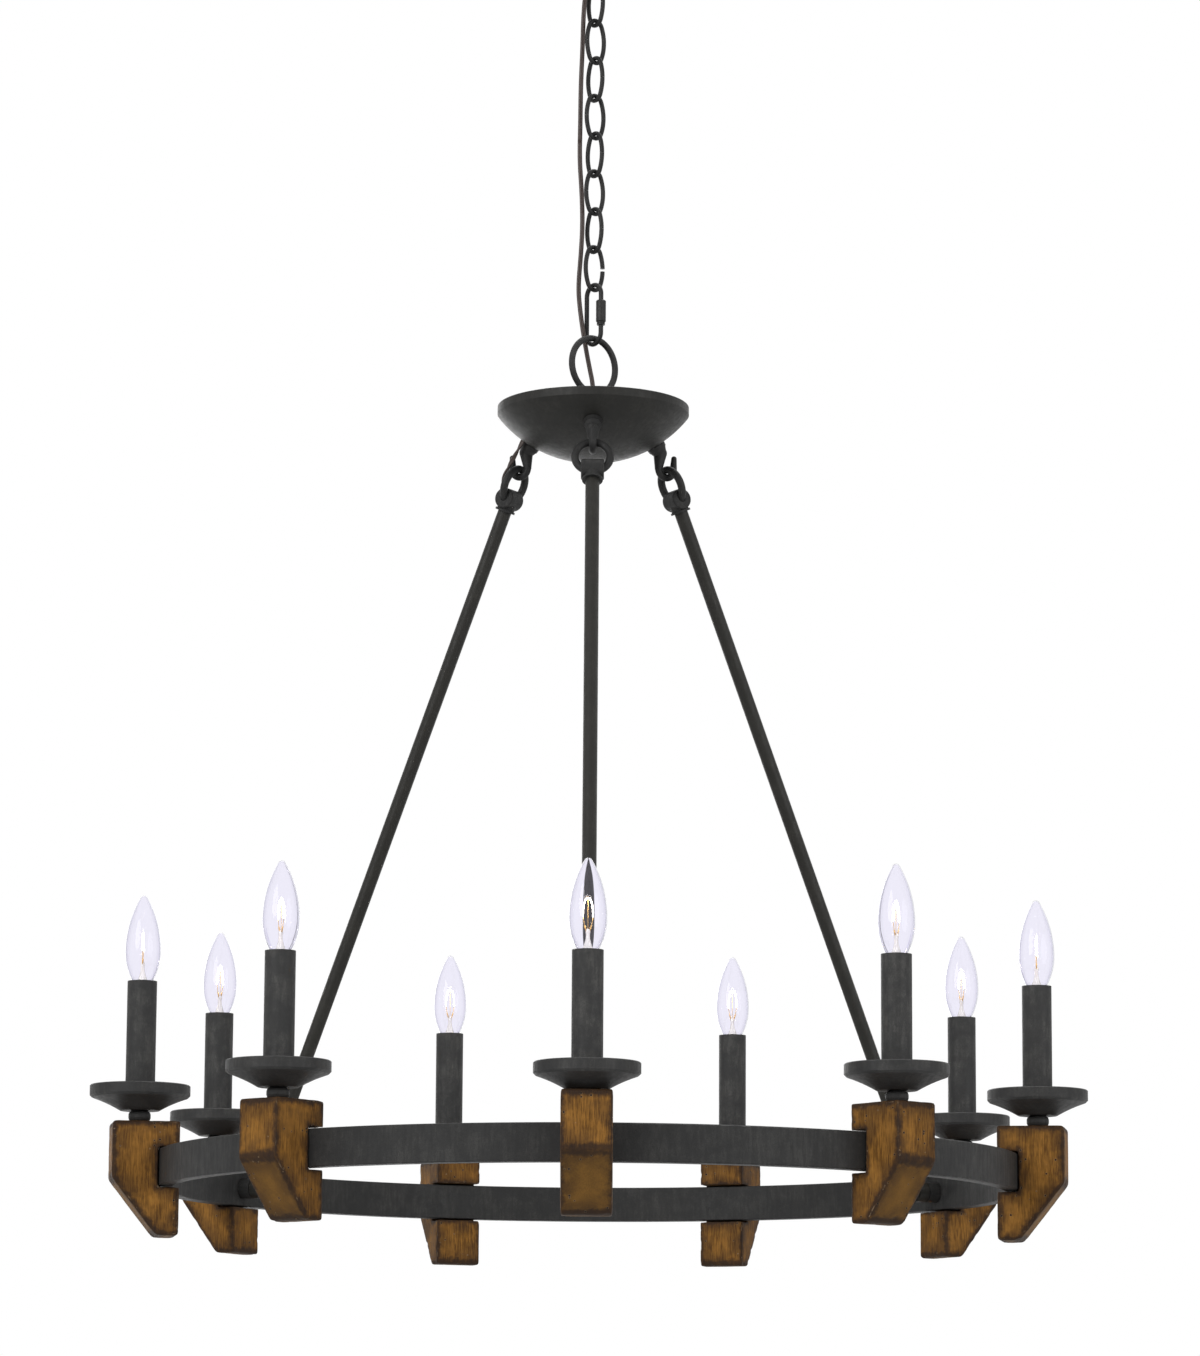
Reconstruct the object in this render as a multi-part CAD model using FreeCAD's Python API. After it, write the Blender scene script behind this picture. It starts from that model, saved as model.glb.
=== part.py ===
import FreeCAD, Part
import math
import os

# Wagon wheel chandelier with nine candle lights, hung by a chain from a ceiling fitting.
# Millimetres, +Z up. The origin is the centre of the ceiling plane, and the light hangs below it.
# A place round the axis is an azimuth: 0 is the front (-Y), and +90 is the right (+X).

V = FreeCAD.Vector
UP = V(0, 0, 1)

# ---------------------------------------------------------------- driving dimensions

# Clearances
PIVOT_GAP = 0.3            # between two wires that hang in each other
FIT_GAP = 0.1              # round a shaft or a seated tube
SEAT_GAP = 0.2             # between a curved seat and what is screwed to it

# Ceiling fitting
CROSSBAR_END = 5.1         # from a slot's end to the bar's end
CROSSBAR_WIDTH = 20.0
CROSSBAR_THICKNESS = 2.0
SLOT_SPACING = 79.4
SLOT_LENGTH = 14.4
SLOT_WIDTH = 4.8
CANOPY_DIAMETER = 127.0
CANOPY_HEIGHT = 25.0
CANOPY_WALL = 1.2
CANOPY_RIM_HEIGHT = 6.0
CANOPY_FLAT_RADIUS = 30.0
CANOPY_HOLE_CLEARANCE = 0.9
LOOP_BARREL_RADIUS = 12.5
LOOP_BARREL_HEIGHT = 16.0
CANOPY_LOOP_WIRE = 6.0
CANOPY_LOOP_RADIUS = 12.5  # of the wire's centreline
CANOPY_LOOP_NECK = 6.5
COLLAR_NUT_RADIUS = 17.5
COLLAR_NUT_HEIGHT = 5.0
COLLAR_KNURLS = 24
LOOP_BELOW_COLLAR = 36.0   # from the canopy's underside to the chain's first contact

# Threaded tubes and their nuts
TUBE_RADIUS = 4.9
TUBE_BORE_RADIUS = 3.2
TUBE_NUT_FLATS = 16.0
TUBE_NUT_HEIGHT = 4.0

# Chain
LINK_COUNT = 8
LINK_PITCH = 36.4
LINK_WIRE = 4.2
LINK_WIDTH = 24.7
LINK_END_RADIUS = 7.7      # of the wire's centreline
LINK_SPLIT = 0.5
LOWEST_LINK_SPLIT = 2.8
CHAIN_TURN = 40.6          # degrees from +X towards +Y, the plane of every second link

# Quick link
QUICK_LINK_REACH = 51.6    # from contact to contact
QUICK_LINK_WIRE = 4.4
QUICK_LINK_WIDTH = 24.6
QUICK_LINK_OPENING = 4.0
SLEEVE_NUT_RADIUS = 4.6
SLEEVE_NUT_LENGTH = 20.8
SLEEVE_NUT_LIP_RADIUS = 3.8
SLEEVE_NUT_LIP_LENGTH = 2.7
SLEEVE_NUT_TRAVEL = 6.0
SLEEVE_NUT_CHAMFER = 0.8

# Hub
HUB_LOOP_WIRE = 5.9
HUB_LOOP_OUTSIDE = 58.2
HUB_FOOT_RADIUS = 8.2
HUB_FOOT_HEIGHT = 17.4
HUB_LOOP_SINK = 9.9        # how far the loop's lowest point is above the hub's rim
HUB_RADIUS = 88.4
HUB_RIM_HEIGHT = 7.9
HUB_DOME_DEPTH = 42.8
HUB_WALL = 2.0
HUB_LEDGE_WIDTH = 7.0
HUB_COVER_THICKNESS = 3.0
HUB_COVER_RECESS = 1.0
HUB_STEM_LENGTH = 16.0     # below the cover's top
COVER_SCREW_COUNT = 6
COVER_SCREW_RADIUS = 1.6
COVER_SCREW_LENGTH = 7.0
COVER_SCREW_HEAD_RADIUS = 3.0
COVER_SCREW_HEAD_HEIGHT = 1.8

# Hooks
ARM_COUNT = 3
ARM_TURN = 360.0 / ARM_COUNT
ARM_AZIMUTHS = {"front": 0.0, "right": ARM_TURN, "left": -ARM_TURN}
HOOK_IN_FROM_RIM = 21.5    # from the bowl's rim to where the hook meets the dome
HOOK_COLLAR_RADIUS = 9.1
HOOK_COLLAR_HEIGHT = 4.2
HOOK_SHOULDER_RADIUS = 8.0
HOOK_SHOULDER_HEIGHT = 4.2
HOOK_SHANK_TOP_RADIUS = 6.4
HOOK_WIRE = 6.8
HOOK_BEND_RADIUS = 7.9     # of the wire's centreline
HOOK_REACH = 11.4          # how much further out than its foot the bend's middle is
HOOK_DROP = 57.9           # from the hub's rim to the centre of the wire at the bend
HOOK_TIP_RISE = 10.9
HOOK_TIP_RADIUS = 2.6
HOOK_HEEL_EXTRA = 0.3      # how much thicker the shank's end is than the bend
HOOK_STUD_RADIUS = 3.0
HOOK_STUD_LENGTH = 9.0
HOOK_NUT_FLATS = 11.0
HOOK_NUT_HEIGHT = 5.0

# Ring links, eyes and rods
RING_OUTSIDE = 39.0
RING_WIRE = 7.1
EYE_RADIUS = 9.7
EYE_LENGTH = 20.9
EYE_RISE = 2.0             # the barrel's axis above the ring's lowest wire
EYE_ROUNDING = 1.6
EYE_NECK_RADIUS = 8.2
EYE_NECK_LENGTH = 8.0
EYE_COLLAR_RADIUS = 9.4
EYE_COLLAR_HEIGHT = 2.0
ROD_RADIUS = 6.35
ROD_BORE_RADIUS = 4.0
ROD_SPIGOT = 4.0
ROD_FOOT_RADIUS = 9.5
ROD_FOOT_THICKNESS = 10.0
PIVOT_BOLT_RADIUS = 4.0
PIVOT_CLEARANCE = 0.7
PIVOT_HEAD_RADIUS = 8.0
PIVOT_HEAD_HEIGHT = 4.0
PIVOT_THREAD_LENGTH = 9.0
BOSS_RADIUS = 9.5
BOSS_LENGTH = 12.1

# Band
BAND_BELOW_HOOKS = 651.1   # from the wire at the hooks' bend to the band's middle
BAND_HEIGHT = 32.5
BAND_OUTSIDE_RADIUS = 388.8
BAND_THICKNESS = 14.0
BAND_WALL = 2.0
BAND_EDGE = 1.2

# Blocks
BLOCK_COUNT = 9
BLOCK_DEPTH = 60.0
BLOCK_WIDTH = 43.0
BLOCK_HEIGHT = 101.2
BLOCK_FACE_HEIGHT = 50.7
BLOCK_FLAT_DEPTH = 20.0
BLOCK_TOP_ABOVE_BAND = 40.6  # above the band's middle
NOTCH_DEPTH = 18.8
NOTCH_CLEARANCE = 1.5
BLOCK_EDGE = 2.2
BLOCK_CORNER = 7.0
BLOCK_TOP_CORNER = 3.0
BLOCK_SCREW_OFFSET = 15.5
BLOCK_SCREW_RADIUS = 2.0
BLOCK_SCREW_HEAD_RADIUS = 3.8
BLOCK_SCREW_BITE = 16.0

# Candles
CANDLE_OUT_FROM_BAND = 16.2  # from the band's outer face to the candles' axes
BEAD_RADIUS = 9.9
BEAD_HEIGHT = 10.0
BEAD_ROUNDING = 2.9        # how much smaller its ends are
FRONT_WASHER_HEIGHT = 1.0  # in place of the front candle's neck bead
PAN_RADIUS = 44.7
PAN_RIM_HEIGHT = 11.0
PAN_HEIGHT = 22.5
PAN_BASE_RADIUS = 17.5
PAN_WALL = 1.6
SLEEVE_RADIUS = 13.2
SLEEVE_WALL = 1.5
SLEEVE_ABOVE_PAN = 93.0
PAN_NUT_FLATS = 14.0
PAN_NUT_HEIGHT = 4.0
CANDLE_TUBE_BITE = 24.0    # of the threaded tube in the block
CANDLE_TUBE_RISE = 50.0    # of the threaded tube above the pan's floor
SOCKET_RADIUS = 9.5
SOCKET_BELOW_TOP = 10.0    # the socket's mouth below the sleeve's top
SOCKET_FLOOR_BELOW_TOP = 24.0
SOCKET_ENGAGEMENT = 10.0

# Bulbs: a 32 mm flame bulb on a 12 mm screw cap
BULB_RADIUS = 16.0
BULB_HEIGHT = 77.0         # above the sleeve's top
BULB_WIDEST_AT = 27.0
BULB_THROAT_RADIUS = 9.0   # at the sleeve's top
BULB_TIP_RADIUS = 3.5
BULB_NECK_BITE = 2.0       # how far the glass's neck reaches into the cap
BULB_GLASS = 0.8
BULB_CAP_RADIUS = 5.95
BULB_CAP_WALL = 0.4
BULB_CAP_LENGTH = 14.0
BULB_CAP_TOP = 8.0         # below the sleeve's top
BULB_STEM_HEIGHT = 16.0
FILAMENT_HEIGHT = 34.0
FILAMENT_SPREAD = 4.5

# Wires
HARNESS_RADIUS = 2.5
BRANCH_RADIUS = 1.6
BRANCH_BEND = 8.0
WIRE_HOLE_RADIUS = 3.0
CONNECTOR_RADIUS = 6.0
CONNECTOR_TIP_RADIUS = 4.0
CONNECTOR_HEIGHT = 15.0
CANOPY_CONNECTORS_AT = 21.5
HUB_CONNECTORS_AT = 14.0

# Supply cord, as a route of points: its two free stretches meet beside the chain.
CORD_DIAMETER = 4.0
CORD_UPPER = [
    (0.0, 0.0, -38.0), (-0.3, 0.2, -46.0), (-5.0, 1.5, -54.5), (-8.4, 1.5, -63.0), (-10.4, 1.1, -74.0),
    (-11.6, 1.0, -93.1), (-12.1, 1.3, -122.1), (-13.5, 0.9, -156.3), (-13.7, 1.2, -194.8),
    (-14.0, 1.1, -211.8)]
CORD_LOWER = [
    (-14.0, 1.1, -211.8), (-14.3, 1.0, -228.8), (-11.8, 1.3, -262.8), (-11.0, 1.7, -293.5),
    (-12.5, 1.3, -322.1), (-14.7, 2.0, -350.6), (-13.2, 3.3, -370.6), (-9.2, 2.6, -399.0),
    (-4.0, 1.1, -427.3), (0.0, 0.0, -446.2), (0.1, 0.0, -462.5)]

# Lead from the bowl to the left rod, in the arm's own plane: out from the axis, to its left, height.
LEAD_DIAMETER = 4.0
LEAD_ROUTE = [
    (64.2, 13.8, -488.5), (68.8, 13.7, -495.2), (75.4, 12.5, -504.2), (83.5, 9.8, -512.7),
    (91.2, 5.7, -520.6), (96.2, 2.0, -529.5), (95.5, 0.1, -538.7)]

# ---------------------------------------------------------------- sizes and heights that follow

CROSSBAR_LENGTH = SLOT_SPACING + SLOT_LENGTH + 2 * CROSSBAR_END
CANOPY_UNDERSIDE_Z = -CANOPY_HEIGHT
CHAIN_TOP_Z = CANOPY_UNDERSIDE_Z - LOOP_BELOW_COLLAR
CHAIN_FOOT_Z = CHAIN_TOP_Z - LINK_COUNT * LINK_PITCH
QUICK_LINK_FOOT_Z = CHAIN_FOOT_Z - QUICK_LINK_REACH
HUB_LOOP_RADIUS = (HUB_LOOP_OUTSIDE - HUB_LOOP_WIRE) / 2
HUB_LOOP_Z = QUICK_LINK_FOOT_Z + PIVOT_GAP / 2 + HUB_LOOP_WIRE / 2 - HUB_LOOP_RADIUS
HUB_RIM_Z = HUB_LOOP_Z - HUB_LOOP_OUTSIDE / 2 - HUB_LOOP_SINK
HUB_COVER_Z = HUB_RIM_Z - HUB_COVER_RECESS
HUB_DOME_TOP_Z = HUB_RIM_Z - HUB_RIM_HEIGHT
HOOK_RADIUS = HUB_RADIUS - HOOK_IN_FROM_RIM
HOOK_BEND_AT = HOOK_RADIUS + HOOK_REACH
HUB_SPHERE_RADIUS = (HUB_RADIUS ** 2 + HUB_DOME_DEPTH ** 2) / (2 * HUB_DOME_DEPTH)
HUB_SPHERE_Z = HUB_DOME_TOP_Z - HUB_DOME_DEPTH + HUB_SPHERE_RADIUS
HOOK_BEND_Z = HUB_RIM_Z - HOOK_DROP
BAND_Z = HOOK_BEND_Z - BAND_BELOW_HOOKS
BLOCK_TOP_Z = BAND_Z + BLOCK_TOP_ABOVE_BAND
PAN_BASE_Z = BLOCK_TOP_Z + BEAD_HEIGHT
SLEEVE_TOP_Z = PAN_BASE_Z + PAN_HEIGHT + SLEEVE_ABOVE_PAN

BAND_INSIDE_RADIUS = BAND_OUTSIDE_RADIUS - BAND_THICKNESS
ROD_FOOT_AT = BAND_INSIDE_RADIUS - BOSS_LENGTH - PIVOT_CLEARANCE - ROD_FOOT_THICKNESS / 2
CANDLE_CIRCLE_RADIUS = BAND_OUTSIDE_RADIUS + CANDLE_OUT_FROM_BAND
FRONT_CANDLE_DROP = BEAD_HEIGHT - FRONT_WASHER_HEIGHT
RING_RADIUS = (RING_OUTSIDE - RING_WIRE) / 2
RING_TOP_Z = HOOK_BEND_Z + HOOK_WIRE / 2 + PIVOT_GAP + RING_WIRE / 2
ROD_SLOPE = math.atan2(ROD_FOOT_AT - HOOK_BEND_AT, RING_TOP_Z - BAND_Z)
ROD_LINE = V(math.sin(ROD_SLOPE), 0, -math.cos(ROD_SLOPE))
RING_TOP = V(HOOK_BEND_AT, 0, RING_TOP_Z)
RING_FOOT = RING_TOP + ROD_LINE * (2 * RING_RADIUS)
ROD_FOOT = V(ROD_FOOT_AT, 0, BAND_Z)
BLOCK_INSIDE_RADIUS = BAND_OUTSIDE_RADIUS + SEAT_GAP - NOTCH_DEPTH
HARNESS_CIRCLE_RADIUS = BAND_OUTSIDE_RADIUS - BAND_THICKNESS / 2
HARNESS_Z = BAND_Z - BAND_HEIGHT / 2 + BAND_WALL + PIVOT_GAP + HARNESS_RADIUS

# ---------------------------------------------------------------- shapes that repeat


def save(name, *solids):
    """Writes one node, which is one solid or a group of separate ones."""
    shape = solids[0] if len(solids) == 1 else Part.makeCompound(list(solids))
    shape.exportStep("parts/" + name + ".step")


def cylinder(radius, foot, top):
    """A round bar from one point to another."""
    line = top - foot
    return Part.makeCylinder(radius, line.Length, foot, line)


def cone(foot_radius, top_radius, foot, top):
    line = top - foot
    return Part.makeCone(foot_radius, top_radius, line.Length, foot, line)


def tube(radius, bore, foot, top):
    return cylinder(radius, foot, top).cut(cylinder(bore, foot, top))


def hexagon_nut(flats, bore, foot, line, height):
    """A hexagon nut whose lower face is at foot, with its axis along line."""
    corner = flats / math.sqrt(3)
    turn = [math.radians(60 * side) for side in range(7)]
    outline = Part.makePolygon([V(corner * math.cos(a), corner * math.sin(a), 0) for a in turn])
    nut = Part.Face(outline).extrude(V(0, 0, height))
    nut = nut.cut(Part.makeCylinder(bore, height))
    nut.Placement = FreeCAD.Placement(foot, FreeCAD.Rotation(UP, line))
    return nut


def turned(points):
    """A solid of revolution about +Z. Points are (radius, z), and a bare arc is (radius, z, "arc")
    for the middle point of an arc between its two neighbours."""
    places = [V(p[0], 0, p[1]) for p in points]
    middles = [len(p) == 3 for p in points]
    edges, at, count = [], 0, len(points)
    while at < count:
        if middles[(at + 1) % count]:
            edges.append(Part.Arc(places[at], places[(at + 1) % count], places[(at + 2) % count]).toShape())
            at += 2
        else:
            edges.append(Part.makeLine(places[at], places[(at + 1) % count]))
            at += 1
    return Part.Face(Part.Wire(edges)).revolve(V(0, 0, 0), UP, 360)


def rounded_route(points):
    """Straight runs joined by tangent arcs. Each arc is as large as its two runs allow.
    Returns the wire and the list of the arcs' radii."""
    edges, radii, last = [], [], points[0]
    for before, corner, after in zip(points, points[1:], points[2:]):
        run_in, run_out = corner - before, after - corner
        half_turn = run_in.getAngle(run_out) / 2
        reach = 0.45 * min(run_in.Length, run_out.Length)
        radii.append(reach / math.tan(half_turn))
        inward = V(run_in).normalize()
        outward = V(run_out).normalize()
        start = corner - inward * reach
        end = corner + outward * reach
        bisector = (outward - inward).normalize()
        to_centre = radii[-1] / math.cos(half_turn)
        middle = corner + bisector * (to_centre - radii[-1])
        edges.append(Part.makeLine(last, start))
        edges.append(Part.Arc(start, middle, end).toShape())
        last = end
    edges.append(Part.makeLine(last, points[-1]))
    return Part.Wire(edges), radii


def swept(path, radius):
    """A round wire of that radius along a path, cut square at both ends."""
    first = path.Edges[0]
    start = first.valueAt(first.FirstParameter)
    line = first.tangentAt(first.FirstParameter)
    circle = Part.Wire(Part.makeCircle(radius, start, line))
    return path.makePipeShell([circle], True, False)


def cord(name, points, diameter):
    """A round cord along a route, and a line that says how tight its bends are."""
    path, radii = rounded_route([V(*p) for p in points])
    solid = swept(path, diameter / 2)
    ideal = math.pi * (diameter / 2) ** 2 * path.Length
    print(name, "length", round(path.Length, 1), "least radius", round(min(radii), 1),
          "volume share", round(solid.Volume / ideal, 4))
    return solid


def at_azimuth(shape, azimuth):
    """Turns a shape drawn along +X, the way out from the axis, to its azimuth."""
    copy = shape.copy()
    copy.rotate(V(0, 0, 0), UP, azimuth - 90)
    return copy


def round_the_wheel(shape):
    """One copy of a shape at each block."""
    return [at_azimuth(shape, azimuth) for azimuth in block_azimuths()]


def block_azimuths():
    return [360.0 / BLOCK_COUNT * place for place in range(BLOCK_COUNT)]


def dome_point(radius):
    """A point of the bowl's outer surface, and the outward normal there."""
    z = HUB_SPHERE_Z - math.sqrt(HUB_SPHERE_RADIUS ** 2 - radius ** 2)
    point = V(radius, 0, z)
    return point, (point - V(0, 0, HUB_SPHERE_Z)).normalize()


# ---------------------------------------------------------------- ceiling fitting


def ceiling_crossbar():
    bar = Part.makeBox(CROSSBAR_LENGTH, CROSSBAR_WIDTH, CROSSBAR_THICKNESS,
                       V(-CROSSBAR_LENGTH / 2, -CROSSBAR_WIDTH / 2, -CROSSBAR_THICKNESS))
    below = V(0, 0, -CROSSBAR_THICKNESS)
    bar = bar.cut(cylinder(TUBE_RADIUS + FIT_GAP, below, V(0, 0, 0)))
    straight = SLOT_LENGTH - SLOT_WIDTH
    for side in (-1, 1):
        middle = side * SLOT_SPACING / 2
        slot = Part.makeBox(straight, SLOT_WIDTH, CROSSBAR_THICKNESS,
                            V(middle - straight / 2, -SLOT_WIDTH / 2, -CROSSBAR_THICKNESS))
        for end in (-1, 1):
            centre = V(middle + end * straight / 2, 0, 0)
            slot = slot.fuse(cylinder(SLOT_WIDTH / 2, centre + below, centre))
        bar = bar.cut(slot)
    corners = [e for e in bar.Edges if e.Length == CROSSBAR_THICKNESS and abs(e.CenterOfMass.y) > 1]
    corners = [e for e in corners if abs(e.CenterOfMass.x) > CROSSBAR_LENGTH / 2 - 1]
    return bar.makeFillet(CROSSBAR_WIDTH / 4, corners)


def canopy():
    """A spun cup whose rim lies against the ceiling."""
    rim = CANOPY_DIAMETER / 2
    shoulder_z = -CANOPY_RIM_HEIGHT
    hole = LOOP_BARREL_RADIUS + CANOPY_HOLE_CLEARANCE
    width = rim - CANOPY_FLAT_RADIUS
    depth = CANOPY_HEIGHT - CANOPY_RIM_HEIGHT
    bulge = (width ** 2 + depth ** 2) / (2 * depth)
    half_turn = math.asin(width / bulge) / 2

    def on_bulge(radius, turn):
        return (CANOPY_FLAT_RADIUS + radius * math.sin(turn),
                CANOPY_UNDERSIDE_Z + bulge - radius * math.cos(turn))

    inside = bulge - CANOPY_WALL
    inner_turn = math.asin((width - CANOPY_WALL) / inside)
    floor_z = CANOPY_UNDERSIDE_Z + CANOPY_WALL
    return turned([
        (rim, 0), (rim, shoulder_z), on_bulge(bulge, half_turn) + ("arc",),
        (CANOPY_FLAT_RADIUS, CANOPY_UNDERSIDE_Z), (hole, CANOPY_UNDERSIDE_Z),
        (hole, floor_z), (CANOPY_FLAT_RADIUS, floor_z),
        on_bulge(inside, inner_turn / 2) + ("arc",),
        on_bulge(inside, inner_turn), (rim - CANOPY_WALL, 0)])


def canopy_loop():
    """A hollow threaded barrel with a ring below it. The cord enters the ring and goes up the bore."""
    ring_z = CHAIN_TOP_Z - PIVOT_GAP / 2 - CANOPY_LOOP_WIRE / 2 + CANOPY_LOOP_RADIUS
    barrel_foot_z = CANOPY_UNDERSIDE_Z - COLLAR_NUT_HEIGHT
    ring = Part.makeTorus(CANOPY_LOOP_RADIUS, CANOPY_LOOP_WIRE / 2, V(0, 0, ring_z), V(0, 1, 0))
    neck_foot_z = ring_z + CANOPY_LOOP_RADIUS - CANOPY_LOOP_WIRE / 2 - 1.5
    barrel = cylinder(LOOP_BARREL_RADIUS, V(0, 0, barrel_foot_z), V(0, 0, barrel_foot_z + LOOP_BARREL_HEIGHT))
    neck = cone(CANOPY_LOOP_NECK, CANOPY_LOOP_NECK + 2, V(0, 0, neck_foot_z), V(0, 0, barrel_foot_z))
    body = barrel.fuse([neck, ring])
    body = body.cut(cylinder(TUBE_BORE_RADIUS, V(0, 0, neck_foot_z), V(0, 0, 0)))
    body = body.cut(cylinder(TUBE_RADIUS + FIT_GAP, V(0, 0, barrel_foot_z + 4), V(0, 0, 0)))
    body.rotate(V(0, 0, 0), UP, CHAIN_TURN)
    return body


def canopy_collar():
    """The knurled nut on the loop's barrel, which holds the canopy up."""
    foot = V(0, 0, CANOPY_UNDERSIDE_Z - COLLAR_NUT_HEIGHT)
    nut = tube(COLLAR_NUT_RADIUS, LOOP_BARREL_RADIUS + FIT_GAP, foot, V(0, 0, CANOPY_UNDERSIDE_Z))
    for notch in range(COLLAR_KNURLS):
        angle = 2 * math.pi * notch / COLLAR_KNURLS
        at = V(math.cos(angle), math.sin(angle), 0) * (COLLAR_NUT_RADIUS + 0.6)
        nut = nut.cut(cylinder(1.3, foot + at, V(0, 0, CANOPY_UNDERSIDE_Z) + at))
    return nut


def wire_connectors(places):
    """Cone-shaped twist-on connectors, standing on their wide ends."""
    return [cone(CONNECTOR_RADIUS, CONNECTOR_TIP_RADIUS, p, p + V(0, 0, CONNECTOR_HEIGHT)) for p in places]


# ---------------------------------------------------------------- chain


def chain_link(split):
    """An oval link in the XZ plane about its own centre, open by split at its +X side.
    Its ends and its gently curved sides are four arcs that meet tangentially."""
    half_width = (LINK_WIDTH - LINK_WIRE) / 2
    half_height = (LINK_PITCH + LINK_WIRE + PIVOT_GAP) / 2
    end = LINK_END_RADIUS
    end_z = half_height - end
    side = (half_width ** 2 + end_z ** 2 - end ** 2) / (2 * (half_width - end))
    side_x = side - half_width
    tangency = math.atan2(end_z, side_x)
    opening = math.asin(split / 2 / side)

    def on_side(angle, sign):
        return V(sign * (side * math.cos(angle) - side_x), 0, side * math.sin(angle))

    half_way = (opening + tangency) / 2
    edges = [
        Part.Arc(on_side(opening, 1), on_side(half_way, 1), on_side(tangency, 1)),
        Part.Arc(on_side(tangency, 1), V(0, 0, half_height), on_side(tangency, -1)),
        Part.Arc(on_side(tangency, -1), V(-half_width, 0, 0), on_side(-tangency, -1)),
        Part.Arc(on_side(-tangency, -1), V(0, 0, -half_height), on_side(-tangency, 1)),
        Part.Arc(on_side(-tangency, 1), on_side(-half_way, 1), on_side(-opening, 1))]
    return swept(Part.Wire([e.toShape() for e in edges]), LINK_WIRE / 2)


def chain_links():
    """The links from the top down. Each second one is a quarter turn on."""
    links = []
    for place in range(LINK_COUNT):
        lowest = place == LINK_COUNT - 1
        link = chain_link(LOWEST_LINK_SPLIT if lowest else LINK_SPLIT)
        turn = CHAIN_TURN - 90 if place % 2 == 0 else CHAIN_TURN + (0 if lowest else 180)
        link.rotate(V(0, 0, 0), UP, turn)
        link.translate(V(0, 0, CHAIN_TOP_Z - (place + 0.5) * LINK_PITCH))
        links.append(link)
    return links


def quick_link_centre():
    return V(0, 0, (CHAIN_FOOT_Z + QUICK_LINK_FOOT_Z) / 2)


def quick_link_half_side():
    half_height = (QUICK_LINK_REACH + QUICK_LINK_WIRE + PIVOT_GAP) / 2
    return half_height - (QUICK_LINK_WIDTH - QUICK_LINK_WIRE) / 2


def sleeve_nut_top():
    """The nut's top at rest, so that after its travel it is still on the straight side."""
    return quick_link_half_side() - SLEEVE_NUT_TRAVEL - 0.2


def quick_link():
    """A link of two straight sides and two round ends, open at its +X side under the nut."""
    radius = (QUICK_LINK_WIDTH - QUICK_LINK_WIRE) / 2
    side = quick_link_half_side()
    nut_foot = sleeve_nut_top() - SLEEVE_NUT_LENGTH - SLEEVE_NUT_LIP_LENGTH
    gap_foot = nut_foot + SLEEVE_NUT_LIP_LENGTH / 2
    edges = [
        Part.makeLine(V(radius, 0, gap_foot + QUICK_LINK_OPENING), V(radius, 0, side)),
        Part.Arc(V(radius, 0, side), V(0, 0, side + radius), V(-radius, 0, side)).toShape(),
        Part.makeLine(V(-radius, 0, side), V(-radius, 0, -side)),
        Part.Arc(V(-radius, 0, -side), V(0, 0, -side - radius), V(radius, 0, -side)).toShape(),
        Part.makeLine(V(radius, 0, -side), V(radius, 0, gap_foot))]
    link = swept(Part.Wire(edges), QUICK_LINK_WIRE / 2)
    link.rotate(V(0, 0, 0), UP, CHAIN_TURN - 90)
    link.translate(quick_link_centre())
    return link


def quick_link_nut():
    """The sleeve nut on the quick link's open side, with a small lip at its foot."""
    top = sleeve_nut_top()
    lip_top = top - SLEEVE_NUT_LENGTH
    foot = lip_top - SLEEVE_NUT_LIP_LENGTH
    bore = QUICK_LINK_WIRE / 2 + FIT_GAP
    slant = SLEEVE_NUT_CHAMFER
    groove = SLEEVE_NUT_LIP_LENGTH / 2
    nut = turned([
        (bore, foot), (SLEEVE_NUT_LIP_RADIUS, foot), (SLEEVE_NUT_LIP_RADIUS, foot + groove),
        (SLEEVE_NUT_LIP_RADIUS - 0.5, foot + groove), (SLEEVE_NUT_LIP_RADIUS - 0.5, foot + groove + 0.5),
        (SLEEVE_NUT_LIP_RADIUS, foot + groove + 0.5), (SLEEVE_NUT_LIP_RADIUS, lip_top),
        (SLEEVE_NUT_RADIUS, lip_top + slant), (SLEEVE_NUT_RADIUS, top - slant),
        (SLEEVE_NUT_RADIUS - slant, top), (bore, top)])
    nut.translate(V((QUICK_LINK_WIDTH - QUICK_LINK_WIRE) / 2, 0, 0))
    nut.rotate(V(0, 0, 0), UP, CHAIN_TURN - 90)
    nut.translate(quick_link_centre())
    return nut


# ---------------------------------------------------------------- hub


def hub_loop():
    """The big wire loop on its hollow foot. The threaded stem goes down through the cover."""
    ring = Part.makeTorus(HUB_LOOP_RADIUS, HUB_LOOP_WIRE / 2, V(0, 0, HUB_LOOP_Z), V(0, 1, 0))
    foot_top = V(0, 0, HUB_COVER_Z + HUB_FOOT_HEIGHT)
    foot = cylinder(HUB_FOOT_RADIUS, V(0, 0, HUB_COVER_Z), foot_top)
    stem_end = V(0, 0, HUB_COVER_Z - HUB_STEM_LENGTH)
    stem = cylinder(TUBE_RADIUS, stem_end, V(0, 0, HUB_COVER_Z + 1))
    loop = ring.fuse([foot, stem]).cut(cylinder(TUBE_BORE_RADIUS, stem_end, foot_top))
    loop.rotate(V(0, 0, 0), UP, CHAIN_TURN)
    return loop


def hub_inner_radius():
    return HUB_RADIUS - HUB_WALL


def hub_cover():
    radius = hub_inner_radius() - SEAT_GAP
    foot = V(0, 0, HUB_COVER_Z - HUB_COVER_THICKNESS)
    cover = tube(radius, TUBE_RADIUS + FIT_GAP, foot, V(0, 0, HUB_COVER_Z))
    return cover.cut(Part.makeCompound(cover_screw_holes()))


def cover_screw_places():
    ring = hub_inner_radius() - HUB_LEDGE_WIDTH / 2
    return [at_azimuth(Part.Vertex(ring, 0, 0), 360.0 / COVER_SCREW_COUNT * (screw + 0.5)).Point
            for screw in range(COVER_SCREW_COUNT)]


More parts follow.
